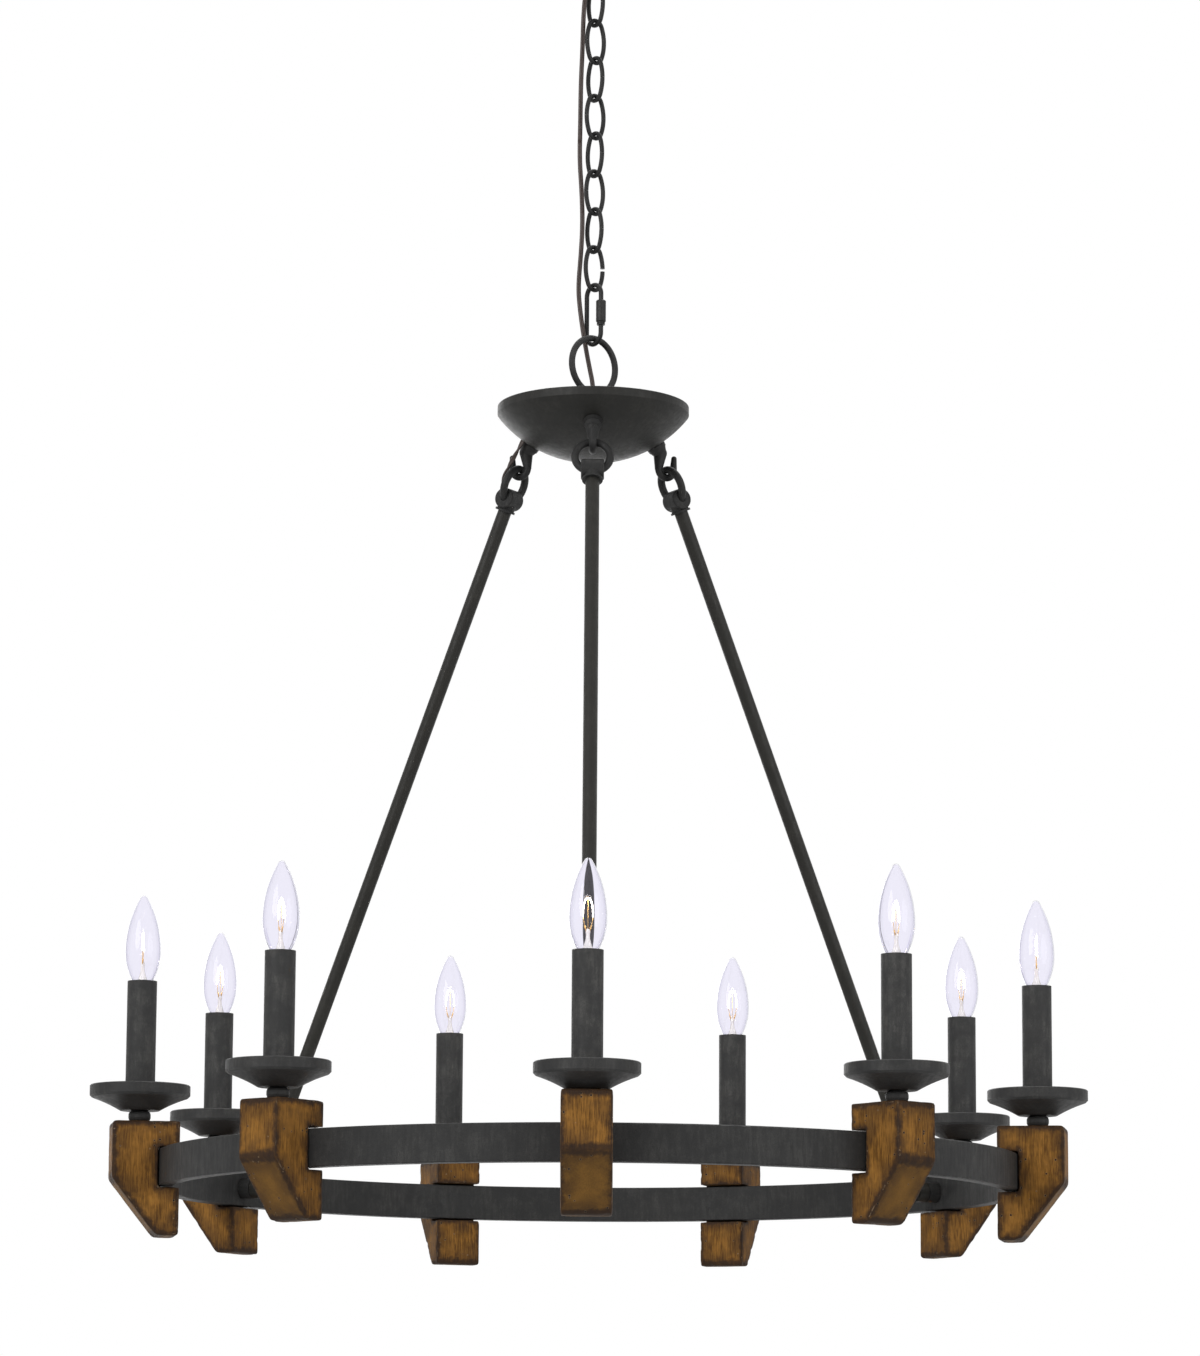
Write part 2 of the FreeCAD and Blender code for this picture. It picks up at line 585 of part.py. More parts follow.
def cover_screw_holes():
    foot = V(0, 0, HUB_COVER_Z - COVER_SCREW_LENGTH)
    return [cylinder(COVER_SCREW_RADIUS + FIT_GAP, p + foot, p + V(0, 0, HUB_COVER_Z))
            for p in cover_screw_places()]


def hub_cover_screws():
    """Pan-head screws through the cover into the bowl's ledge."""
    screws = []
    for place in cover_screw_places():
        seat = place + V(0, 0, HUB_COVER_Z)
        shank = cylinder(COVER_SCREW_RADIUS, seat - V(0, 0, COVER_SCREW_LENGTH), seat)
        head = cone(COVER_SCREW_HEAD_RADIUS, COVER_SCREW_HEAD_RADIUS * 0.7, seat,
                    seat + V(0, 0, COVER_SCREW_HEAD_HEIGHT))
        screws.append(shank.fuse(head))
    return screws


def hub_bowl():
    """A spun bowl: a dome below a short rim, with a ledge inside for the cover."""
    inner_sphere = HUB_SPHERE_RADIUS - HUB_WALL
    ledge = hub_inner_radius() - HUB_LEDGE_WIDTH
    ledge_z = HUB_COVER_Z - HUB_COVER_THICKNESS

    def sphere_z(sphere, radius):
        return HUB_SPHERE_Z - math.sqrt(sphere ** 2 - radius ** 2)

    half = HUB_RADIUS / 2
    bowl = turned([
        (0, sphere_z(HUB_SPHERE_RADIUS, 0)), (half, sphere_z(HUB_SPHERE_RADIUS, half), "arc"),
        (HUB_RADIUS, HUB_DOME_TOP_Z), (HUB_RADIUS, HUB_RIM_Z), (hub_inner_radius(), HUB_RIM_Z),
        (hub_inner_radius(), ledge_z), (ledge, ledge_z), (ledge, sphere_z(inner_sphere, ledge)),
        (ledge / 2, sphere_z(inner_sphere, ledge / 2), "arc"), (0, sphere_z(inner_sphere, 0))])
    holes = cover_screw_holes()
    place, normal = dome_point(HOOK_RADIUS)
    hook_hole = cylinder(HOOK_STUD_RADIUS + FIT_GAP, place - normal * (3 * HUB_WALL), place + normal)
    holes += [at_azimuth(hook_hole, azimuth) for azimuth in ARM_AZIMUTHS.values()]
    lead_start, lead_next = V(*LEAD_ROUTE[0]), V(*LEAD_ROUTE[1])
    lead_hole = cylinder(LEAD_DIAMETER / 2 + FIT_GAP, lead_start - (lead_next - lead_start), lead_next)
    holes.append(at_azimuth(lead_hole, ARM_AZIMUTHS["left"]))
    bowl = bowl.cut(Part.makeCompound(holes))
    rim_edges = [e for e in bowl.Edges if abs(e.BoundBox.ZLength) < 0.01
                 and abs(e.BoundBox.XLength - 2 * HUB_RADIUS) < 0.1]
    return bowl.makeFillet(1.0, rim_edges)


def hub_nuts():
    """The loop's nut under the cover, and one nut on each hook's stud."""
    cover_foot = V(0, 0, HUB_COVER_Z - HUB_COVER_THICKNESS)
    nuts = [hexagon_nut(TUBE_NUT_FLATS, TUBE_RADIUS + FIT_GAP, cover_foot, V(0, 0, -1), TUBE_NUT_HEIGHT)]
    place, normal = dome_point(HOOK_RADIUS)
    seat = place - normal * (HUB_WALL + SEAT_GAP)
    nut = hexagon_nut(HOOK_NUT_FLATS, HOOK_STUD_RADIUS + FIT_GAP, seat, normal * -1, HOOK_NUT_HEIGHT)
    return nuts + [at_azimuth(nut, azimuth) for azimuth in ARM_AZIMUTHS.values()]


def hook():
    """A cast hook along +X: stud, collar, shoulder, tapered shank, round bend and upturned tip."""
    place, normal = dome_point(HOOK_RADIUS)
    stud = cylinder(HOOK_STUD_RADIUS, place - normal * (HUB_WALL + HOOK_STUD_LENGTH), place + normal)
    collar_foot = place + normal * HOOK_COLLAR_HEIGHT
    shoulder_foot = collar_foot + normal * HOOK_SHOULDER_HEIGHT
    collar = cone(HOOK_COLLAR_RADIUS, HOOK_COLLAR_RADIUS - 0.6, place + normal * SEAT_GAP, collar_foot)
    shoulder = cone(HOOK_SHOULDER_RADIUS, HOOK_SHANK_TOP_RADIUS, collar_foot, shoulder_foot)
    wire = HOOK_WIRE / 2
    centre = V(HOOK_BEND_AT, 0, HOOK_BEND_Z + HOOK_BEND_RADIUS)
    inner = centre - V(HOOK_BEND_RADIUS, 0, 0)
    outer = centre + V(HOOK_BEND_RADIUS, 0, 0)
    shank = cone(HOOK_SHANK_TOP_RADIUS, wire + HOOK_HEEL_EXTRA, shoulder_foot, inner)
    knee = Part.makeSphere(HOOK_SHANK_TOP_RADIUS, shoulder_foot)
    heel = Part.makeSphere(wire + HOOK_HEEL_EXTRA, inner)
    bend_path = Part.Arc(inner, V(HOOK_BEND_AT, 0, HOOK_BEND_Z), outer).toShape()
    bend = swept(Part.Wire([bend_path]), wire)
    tip_end = outer + V(0.6, 0, HOOK_TIP_RISE)
    elbow = Part.makeSphere(wire, outer)
    tip = cone(wire, HOOK_TIP_RADIUS, outer, tip_end)
    ball = Part.makeSphere(HOOK_TIP_RADIUS, tip_end)
    return stud.fuse([collar, shoulder, knee, shank, heel, bend, elbow, tip, ball])


# ---------------------------------------------------------------- rods


def ring_link():
    centre = (RING_TOP + RING_FOOT) * 0.5
    across = ROD_LINE.cross(V(0, 1, 0))
    return Part.makeTorus(RING_RADIUS, RING_WIRE / 2, centre, across)


def rod_eye(with_lead):
    """A barrel across the ring's lowest wire, with a neck and a collar washer over the rod's end."""
    axis = RING_FOOT - ROD_LINE * EYE_RISE
    half = V(0, EYE_LENGTH / 2, 0)
    barrel = cylinder(EYE_RADIUS, axis - half, axis + half)
    barrel = barrel.makeFillet(EYE_ROUNDING, [e for e in barrel.Edges if e.Length > EYE_LENGTH * 1.5])
    neck_foot = RING_FOOT + ROD_LINE * EYE_NECK_LENGTH
    neck = cone(EYE_NECK_RADIUS + 0.7, EYE_NECK_RADIUS, RING_FOOT, neck_foot)
    collar = cylinder(EYE_COLLAR_RADIUS, neck_foot, neck_foot + ROD_LINE * EYE_COLLAR_HEIGHT)
    eye = barrel.fuse([neck, collar])
    centre = (RING_TOP + RING_FOOT) * 0.5
    across = ROD_LINE.cross(V(0, 1, 0))
    eye = eye.cut(Part.makeTorus(RING_RADIUS, RING_WIRE / 2 + PIVOT_GAP, centre, across))
    socket_top = neck_foot - ROD_LINE * ROD_SPIGOT
    eye = eye.cut(cylinder(ROD_RADIUS + FIT_GAP, socket_top, neck_foot + ROD_LINE * EYE_COLLAR_HEIGHT * 2))
    if with_lead:
        last, end = V(*LEAD_ROUTE[-2]), V(*LEAD_ROUTE[-1])
        line = V(end - last).normalize()
        eye = eye.cut(cylinder(LEAD_DIAMETER / 2 + FIT_GAP, last - line * 4, end + line * SEAT_GAP))
    return eye


def rod():
    """A round tube down to the band, closed at its foot by a flattened eye round the pivot bolt."""
    top = RING_FOOT + ROD_LINE * (EYE_NECK_LENGTH - ROD_SPIGOT + FIT_GAP)
    half = V(ROD_FOOT_THICKNESS / 2, 0, 0)
    bar = cylinder(ROD_RADIUS, top, ROD_FOOT)
    eye = cylinder(ROD_FOOT_RADIUS, ROD_FOOT - half, ROD_FOOT + half)
    reach = 4 * ROD_RADIUS
    flat = max(PIVOT_HEAD_RADIUS, BOSS_RADIUS) + 1
    for side in (-1, 1):
        corner = ROD_FOOT + V(side * (ROD_FOOT_THICKNESS + reach) / 2, 0, 0)
        bar = bar.cut(Part.makeBox(reach, reach, 2 * flat, corner - V(reach / 2, reach / 2, flat)))
    body = bar.fuse(eye)
    bore_foot = ROD_FOOT - ROD_LINE * (3 * ROD_FOOT_RADIUS)
    body = body.cut(cylinder(ROD_BORE_RADIUS, bore_foot, top - ROD_LINE))
    hole = PIVOT_BOLT_RADIUS + PIVOT_CLEARANCE
    reach = V(ROD_FOOT_THICKNESS, 0, 0)
    return body.cut(cylinder(hole, ROD_FOOT - reach, ROD_FOOT + reach))


def pivot_bolt():
    """A round-headed bolt through the rod's foot into the boss."""
    boss_face = ROD_FOOT + V(ROD_FOOT_THICKNESS / 2 + PIVOT_CLEARANCE, 0, 0)
    head_face = ROD_FOOT - V(ROD_FOOT_THICKNESS / 2 + PIVOT_CLEARANCE, 0, 0)
    shank = cylinder(PIVOT_BOLT_RADIUS, head_face, boss_face + V(PIVOT_THREAD_LENGTH, 0, 0))
    head = cylinder(PIVOT_HEAD_RADIUS, head_face - V(PIVOT_HEAD_HEIGHT, 0, 0), head_face)
    rim = [e for e in head.Edges if abs(e.CenterOfMass.x - head_face.x + PIVOT_HEAD_HEIGHT) < 0.01]
    head = head.makeFillet(PIVOT_HEAD_HEIGHT * 0.6, rim)
    return shank.fuse(head)


def band_boss():
    """A turned boss welded to the band's inner face, threaded for the pivot bolt."""
    face = ROD_FOOT + V(ROD_FOOT_THICKNESS / 2 + PIVOT_CLEARANCE, 0, 0)
    reach = BAND_INSIDE_RADIUS - face.x
    boss = cylinder(BOSS_RADIUS, face, face + V(reach + 1, 0, 0))
    boss = boss.cut(cylinder(PIVOT_BOLT_RADIUS + FIT_GAP, face, face + V(PIVOT_THREAD_LENGTH + 0.5, 0, 0)))
    inside = Part.makeCylinder(BAND_INSIDE_RADIUS - SEAT_GAP, 4 * BOSS_RADIUS,
                               V(0, 0, BAND_Z - 2 * BOSS_RADIUS))
    return boss.common(inside)


# ---------------------------------------------------------------- wheel


def screw_holes(radius):
    """A pair of radial holes through the band and into a block, along +X."""
    start = BAND_INSIDE_RADIUS - 2
    end = BAND_OUTSIDE_RADIUS + BLOCK_SCREW_BITE
    return [cylinder(radius, V(start, side * BLOCK_SCREW_OFFSET, BAND_Z),
                     V(end, side * BLOCK_SCREW_OFFSET, BAND_Z))
            for side in (-1, 1)]


def band():
    """The wheel's rim: a rectangular tube bent to a ring, with holes for screws and wires."""
    half = BAND_HEIGHT / 2
    outer = turned([(BAND_INSIDE_RADIUS, BAND_Z - half), (BAND_OUTSIDE_RADIUS, BAND_Z - half),
                    (BAND_OUTSIDE_RADIUS, BAND_Z + half), (BAND_INSIDE_RADIUS, BAND_Z + half)])
    outer = outer.makeFillet(BAND_EDGE, outer.Edges)
    inner = half - BAND_WALL
    hollow = turned([
        (BAND_INSIDE_RADIUS + BAND_WALL, BAND_Z - inner), (BAND_OUTSIDE_RADIUS - BAND_WALL, BAND_Z - inner),
        (BAND_OUTSIDE_RADIUS - BAND_WALL, BAND_Z + inner), (BAND_INSIDE_RADIUS + BAND_WALL, BAND_Z + inner)])
    wire_hole = cylinder(WIRE_HOLE_RADIUS, V(HARNESS_CIRCLE_RADIUS, 0, HARNESS_Z),
                         V(BAND_OUTSIDE_RADIUS + 1, 0, HARNESS_Z))
    heads = [cone(BLOCK_SCREW_HEAD_RADIUS + FIT_GAP, BLOCK_SCREW_RADIUS + FIT_GAP,
                  V(screw_head_radius(), side * BLOCK_SCREW_OFFSET, BAND_Z),
                  V(screw_head_radius() + BLOCK_SCREW_RADIUS, side * BLOCK_SCREW_OFFSET, BAND_Z))
             for side in (-1, 1)]
    cuts = []
    for shape in [wire_hole] + heads + screw_holes(BLOCK_SCREW_RADIUS + FIT_GAP):
        cuts += round_the_wheel(shape)
    return outer.cut(Part.makeCompound([hollow])).cut(Part.makeCompound(cuts))


def screw_head_radius():
    """How far out a screw's flat head lies, so that it is flush with the band's curved inner face."""
    return math.sqrt(BAND_INSIDE_RADIUS ** 2 - BLOCK_SCREW_OFFSET ** 2)


def block_screws():
    """Countersunk screws from the band's inner face into the blocks."""
    start = screw_head_radius()
    end = BAND_OUTSIDE_RADIUS + BLOCK_SCREW_BITE - 1
    screws = []
    for side in (-1, 1):
        y = side * BLOCK_SCREW_OFFSET
        head = cone(BLOCK_SCREW_HEAD_RADIUS, BLOCK_SCREW_RADIUS, V(start, y, BAND_Z),
                    V(start + BLOCK_SCREW_RADIUS, y, BAND_Z))
        shank = cylinder(BLOCK_SCREW_RADIUS, V(start + 1, y, BAND_Z), V(end, y, BAND_Z))
        screws += round_the_wheel(head.fuse(shank))
    return screws


def block():
    """A wooden corbel along +X. Its outer face is upright above and slopes in below, and the band
    lies in a notch of its inner face."""
    inside, outside = BLOCK_INSIDE_RADIUS, BLOCK_INSIDE_RADIUS + BLOCK_DEPTH
    top, foot = BLOCK_TOP_Z, BLOCK_TOP_Z - BLOCK_HEIGHT
    knee = top - BLOCK_FACE_HEIGHT
    notch = inside + NOTCH_DEPTH
    notch_top = BAND_Z + BAND_HEIGHT / 2 + NOTCH_CLEARANCE
    notch_foot = BAND_Z - BAND_HEIGHT / 2 - NOTCH_CLEARANCE
    half = BLOCK_WIDTH / 2
    outline = [(inside, top), (outside, top), (outside, knee), (inside + BLOCK_FLAT_DEPTH, foot),
               (inside, foot)]
    outline = [V(x, -half, z) for x, z in outline]
    solid = Part.Face(Part.makePolygon(outline + outline[:1])).extrude(V(0, BLOCK_WIDTH, 0))

    def across(edge, x, z):
        middle = edge.CenterOfMass
        return abs(edge.BoundBox.YLength - BLOCK_WIDTH) < 0.01 and abs(middle.x - x) + abs(middle.z - z) < 0.01

    corners = [((outside, knee), BLOCK_CORNER), ((inside + BLOCK_FLAT_DEPTH, foot), BLOCK_CORNER),
               ((outside, top), BLOCK_TOP_CORNER), ((inside, foot), BLOCK_TOP_CORNER)]
    for (x, z), radius in corners:
        solid = solid.makeFillet(radius, [e for e in solid.Edges if across(e, x, z)])
    notch_box = Part.makeBox(notch - inside + 5, BLOCK_WIDTH + 10, notch_top - notch_foot,
                             V(inside - 5, -half - 5, notch_foot))
    solid = solid.cut(notch_box)
    outer_faces = [f for f in solid.Faces if abs(abs(f.CenterOfMass.y) - half) < 0.01]
    rim = [e for f in outer_faces for e in f.Edges if e.CenterOfMass.x > notch + 0.5
           or e.CenterOfMass.z > notch_top + 0.5 or e.CenterOfMass.z < notch_foot - 0.5]
    solid = solid.makeChamfer(BLOCK_EDGE * 0.6, rim)
    tube_hole = cylinder(TUBE_RADIUS + FIT_GAP, V(CANDLE_CIRCLE_RADIUS, 0, HARNESS_Z - TUBE_RADIUS),
                         V(CANDLE_CIRCLE_RADIUS, 0, top))
    wire_hole = cylinder(WIRE_HOLE_RADIUS, V(notch - 1, 0, HARNESS_Z), V(CANDLE_CIRCLE_RADIUS, 0, HARNESS_Z))
    return solid.cut(Part.makeCompound([tube_hole, wire_hole] + screw_holes(BLOCK_SCREW_RADIUS)))


# ---------------------------------------------------------------- candles


def on_candle_axis(shape, place):
    """Moves a shape drawn on the Z axis, at the height of a raised candle, to one of the candles."""
    moved = shape.copy()
    moved.translate(V(CANDLE_CIRCLE_RADIUS, 0, -candle_drop(place)))
    return at_azimuth(moved, block_azimuths()[place])


def candle_drop(place):
    return FRONT_CANDLE_DROP if place == 0 else 0.0


def each_candle(shape):
    return [on_candle_axis(shape, place) for place in range(BLOCK_COUNT)]


def neck_beads():
    """Turned beads between block and pan. The front candle has a thin washer in its bead's place."""
    bore = TUBE_RADIUS + FIT_GAP
    foot, top = BLOCK_TOP_Z, BLOCK_TOP_Z + BEAD_HEIGHT
    end, shoulder = BEAD_RADIUS - BEAD_ROUNDING, BEAD_RADIUS - BEAD_ROUNDING / 4
    low, high = 0.55 * BEAD_ROUNDING, 1.2 * BEAD_ROUNDING
    bead = turned([
        (bore, foot), (end, foot), (shoulder, foot + low), (BEAD_RADIUS, foot + high),
        (BEAD_RADIUS, top - high), (shoulder, top - low), (end, top), (bore, top)])
    washer = tube(BEAD_RADIUS, bore, V(0, 0, top - FRONT_WASHER_HEIGHT), V(0, 0, top))
    return [on_candle_axis(washer if place == 0 else bead, place) for place in range(BLOCK_COUNT)]


def drip_pan():
    """A shallow pan: upright rim, and an underside that curves in to a small base."""
    rim_foot = PAN_BASE_Z + PAN_HEIGHT - PAN_RIM_HEIGHT
    rim_top = PAN_BASE_Z + PAN_HEIGHT
    depth = rim_foot - PAN_BASE_Z
    inner = PAN_RADIUS - PAN_WALL
    bore = TUBE_RADIUS + FIT_GAP
    waist = (PAN_BASE_RADIUS + PAN_RADIUS) / 2
    waist_z = PAN_BASE_Z + depth * 0.61
    return turned([
        (bore, PAN_BASE_Z), (PAN_BASE_RADIUS, PAN_BASE_Z), (waist, waist_z, "arc"),
        (PAN_RADIUS - 2.0, rim_foot), (PAN_RADIUS, rim_foot + 2.0), (PAN_RADIUS, rim_top - 0.8),
        (PAN_RADIUS - 0.8, rim_top), (inner, rim_top), (inner, rim_foot + 2.6),
        (inner - 1.6, rim_foot + PAN_WALL), (waist - 0.7, waist_z + PAN_WALL, "arc"),
        (PAN_BASE_RADIUS - 0.6, PAN_BASE_Z + PAN_WALL), (bore, PAN_BASE_Z + PAN_WALL)])


def pan_floor_z():
    return PAN_BASE_Z + PAN_WALL


def candle_sleeve():
    return tube(SLEEVE_RADIUS, SLEEVE_RADIUS - SLEEVE_WALL, V(0, 0, pan_floor_z()), V(0, 0, SLEEVE_TOP_Z))


def pan_nut():
    return hexagon_nut(PAN_NUT_FLATS, TUBE_RADIUS + FIT_GAP, V(0, 0, pan_floor_z()), UP, PAN_NUT_HEIGHT)


def candle_tube_top_z():
    return pan_floor_z() + CANDLE_TUBE_RISE


def candle_tube():
    return tube(TUBE_RADIUS, TUBE_BORE_RADIUS, V(0, 0, BLOCK_TOP_Z - CANDLE_TUBE_BITE),
                V(0, 0, candle_tube_top_z()))


def lamp_socket():
    """A screw socket on the threaded tube, inside the sleeve."""
    foot = V(0, 0, candle_tube_top_z() - SOCKET_ENGAGEMENT)
    top = V(0, 0, SLEEVE_TOP_Z - SOCKET_BELOW_TOP)
    floor = V(0, 0, SLEEVE_TOP_Z - SOCKET_FLOOR_BELOW_TOP)
    body = cylinder(SOCKET_RADIUS, foot, top)
    body = body.cut(cylinder(BULB_CAP_RADIUS + FIT_GAP, floor, top))
    return body.cut(cylinder(TUBE_RADIUS + FIT_GAP, foot, V(0, 0, candle_tube_top_z())))


# ---------------------------------------------------------------- bulbs


def glass_outline(inset, neck_radius, neck_z):
    """The glass's outline from its neck to its tip, moved inwards by inset: a cone, then three arcs
    that meet tangentially, one up to the widest place, one above it and one round the tip."""
    flare = BULB_RADIUS - BULB_THROAT_RADIUS
    below = (BULB_WIDEST_AT ** 2 + flare ** 2) / (2 * flare)
    throat_turn = math.asin(BULB_WIDEST_AT / below)
    tip_centre = BULB_HEIGHT - BULB_TIP_RADIUS
    rise = tip_centre - BULB_WIDEST_AT
    above = (BULB_RADIUS ** 2 + rise ** 2 - BULB_TIP_RADIUS ** 2) / (2 * (BULB_RADIUS - BULB_TIP_RADIUS))
    tip_turn = math.asin(rise / (above - BULB_TIP_RADIUS))

    def on_arc(radius, centre_r, centre_z, turn):
        return (centre_r + (radius - inset) * math.cos(turn),
                SLEEVE_TOP_Z + centre_z + (radius - inset) * math.sin(turn))

    lower = (below, BULB_RADIUS - below, BULB_WIDEST_AT)
    upper = (above, BULB_RADIUS - above, BULB_WIDEST_AT)
    tip = (BULB_TIP_RADIUS, 0, tip_centre)
    return [
        (neck_radius - inset, neck_z),
        on_arc(*lower, -throat_turn),
        on_arc(*lower, -throat_turn / 2) + ("arc",),
        on_arc(*lower, 0), on_arc(*upper, tip_turn / 2) + ("arc",), on_arc(*upper, tip_turn),
        on_arc(*tip, (tip_turn + math.pi / 2) / 2) + ("arc",), (0, SLEEVE_TOP_Z + BULB_HEIGHT - inset)]


def bulb():
    """A clear flame bulb: glass, screw cap, and the mount with its filament."""
    cap_top = SLEEVE_TOP_Z - BULB_CAP_TOP
    cap_foot = cap_top - BULB_CAP_LENGTH
    neck = BULB_CAP_RADIUS - BULB_CAP_WALL - FIT_GAP
    neck_foot = cap_top - BULB_NECK_BITE
    inner = glass_outline(BULB_GLASS, neck, neck_foot)
    glass = turned(glass_outline(0.0, neck, neck_foot) + inner[::-1])
    inside = BULB_CAP_RADIUS - BULB_CAP_WALL
    button = cap_foot - 1.5
    plug_top = cap_top - 2 * BULB_NECK_BITE
    cap = turned([
        (0, button), (2.2, button), (4.0, cap_foot), (BULB_CAP_RADIUS, cap_foot + 2),
        (BULB_CAP_RADIUS, cap_top), (inside, cap_top), (inside, plug_top), (0, plug_top)])
    stem_top = SLEEVE_TOP_Z + BULB_STEM_HEIGHT
    stem = cone(neck - BULB_GLASS - 0.4, 1.6, V(0, 0, plug_top), V(0, 0, stem_top))
    posts = []
    filament_z = SLEEVE_TOP_Z + FILAMENT_HEIGHT
    peak = V(0, 0, filament_z + 3)
    post_foot = stem_top - 2
    for side in (-1, 1):
        post_top = V(side * FILAMENT_SPREAD, 0, filament_z)
        posts.append(cylinder(0.35, V(side * 0.6, 0, post_foot), post_top))
        posts.append(cylinder(0.3, post_top, peak))
    posts.append(cylinder(0.35, V(0, 0, post_foot), peak))
    mount = stem.fuse(posts)
    return Part.makeCompound([glass, cap, mount])


# ---------------------------------------------------------------- wires in the wheel


def band_wiring():
    """A bundle of wires round inside the band, and a branch up to each socket."""
    size = HARNESS_RADIUS
    ring = HARNESS_CIRCLE_RADIUS
    bundle = turned([(ring, HARNESS_Z + size), (ring + size, HARNESS_Z, "arc"), (ring, HARNESS_Z - size),
                     (ring - size, HARNESS_Z, "arc")])
    branches = []
    for place in range(BLOCK_COUNT):
        top_z = candle_tube_top_z() - 2 - candle_drop(place)
        start = V(HARNESS_CIRCLE_RADIUS, 0, HARNESS_Z)
        corner = V(CANDLE_CIRCLE_RADIUS, 0, HARNESS_Z)
        bend_start = corner - V(BRANCH_BEND, 0, 0)
        bend_end = corner + V(0, 0, BRANCH_BEND)
        slack = BRANCH_BEND * (1 - math.sqrt(0.5))
        path = Part.Wire([
            Part.makeLine(start, bend_start),
            Part.Arc(bend_start, corner + V(-slack, 0, slack), bend_end).toShape(),
            Part.makeLine(bend_end, V(CANDLE_CIRCLE_RADIUS, 0, top_z))])
        branches.append(at_azimuth(swept(path, BRANCH_RADIUS), block_azimuths()[place]))
    return bundle.fuse(branches)


# ---------------------------------------------------------------- the whole light


def make_ceiling_fitting():
    save("ceiling_crossbar", ceiling_crossbar())
    nut_face = V(0, 0, -CROSSBAR_THICKNESS)
    save("crossbar_nut",
         hexagon_nut(TUBE_NUT_FLATS, TUBE_RADIUS + FIT_GAP, nut_face, V(0, 0, -1), TUBE_NUT_HEIGHT))
    nipple_foot_z = CANOPY_UNDERSIDE_Z - COLLAR_NUT_HEIGHT + 4 + FIT_GAP
    save("crossbar_nipple", tube(TUBE_RADIUS, TUBE_BORE_RADIUS, V(0, 0, nipple_foot_z), V(0, 0, 0)))
    save("canopy", canopy())
    save("canopy_loop", canopy_loop())
    save("canopy_collar", canopy_collar())
    floor = V(CANOPY_CONNECTORS_AT, 0, CANOPY_UNDERSIDE_Z + CANOPY_WALL)
    places = [at_azimuth(Part.Vertex(floor), 40 * turn).Point for turn in (-1, 0, 1)]
    save("canopy_connectors", *wire_connectors(places))


def make_chain():
    save("chain_links", *chain_links())
    save("quick_link", quick_link())
    save("quick_link_nut", quick_link_nut())
    save("supply_cord_upper", cord("supply_cord_upper", CORD_UPPER, CORD_DIAMETER))
    save("supply_cord_lower", cord("supply_cord_lower", CORD_LOWER, CORD_DIAMETER))


def make_hub():
    save("hub_loop", hub_loop())
    save("hub_cover", hub_cover())
    save("hub_cover_screws", *hub_cover_screws())
    save("hub_bowl", hub_bowl())
    save("hub_nuts", *hub_nuts())
    inner_sphere = HUB_SPHERE_RADIUS - HUB_WALL
    ring = HUB_CONNECTORS_AT
    floor = HUB_SPHERE_Z - math.sqrt(inner_sphere ** 2 - (ring + CONNECTOR_RADIUS) ** 2)
    places = [at_azimuth(Part.Vertex(ring, 0, floor), 60 + 120 * turn).Point for turn in range(3)]
    save("hub_connectors", *wire_connectors(places))
    for name, azimuth in ARM_AZIMUTHS.items():
        save("hook_" + name, at_azimuth(hook(), azimuth))
    lead = cord("left_rod_lead", LEAD_ROUTE, LEAD_DIAMETER)
    save("left_rod_lead", at_azimuth(lead, ARM_AZIMUTHS["left"]))


def make_rods():
    for name, azimuth in ARM_AZIMUTHS.items():
        save("ring_link_" + name, at_azimuth(ring_link(), azimuth))
        save("rod_eye_" + name, at_azimuth(rod_eye(name == "left"), azimuth))
        save("rod_" + name, at_azimuth(rod(), azimuth))


def make_wheel():
    save("band", band())
    save("band_bosses", *[at_azimuth(band_boss(), azimuth) for azimuth in ARM_AZIMUTHS.values()])
    save("pivot_bolts", *[at_azimuth(pivot_bolt(), azimuth) for azimuth in ARM_AZIMUTHS.values()])
    save("block_screws", *block_screws())
    for place, solid in enumerate(round_the_wheel(block())):
        save("block_" + str(place + 1), solid)
    save("band_wiring", band_wiring())


def make_candles():
    save("neck_beads", *neck_beads())
    save("drip_pans", *each_candle(drip_pan()))
    save("pan_nuts", *each_candle(pan_nut()))
    save("candle_tubes", *each_candle(candle_tube()))
    save("candle_sleeves", *each_candle(candle_sleeve()))
    save("lamp_sockets", *each_candle(lamp_socket()))
    for place, solid in enumerate(each_candle(bulb())):
        save("bulb_" + str(place + 1), solid)


os.makedirs("parts", exist_ok=True)
make_ceiling_fitting()
make_chain()
make_hub()
make_rods()
make_wheel()
make_candles()
print("sleeve top z", round(SLEEVE_TOP_Z, 2), "band z", round(BAND_Z, 2), "hub rim z", round(HUB_RIM_Z, 2))
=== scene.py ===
import math

import bmesh
import bpy
import numpy as np
from bpy.props import FloatProperty, FloatVectorProperty, PointerProperty
from mathutils import Matrix, Vector, noise
from mathutils.kdtree import KDTree


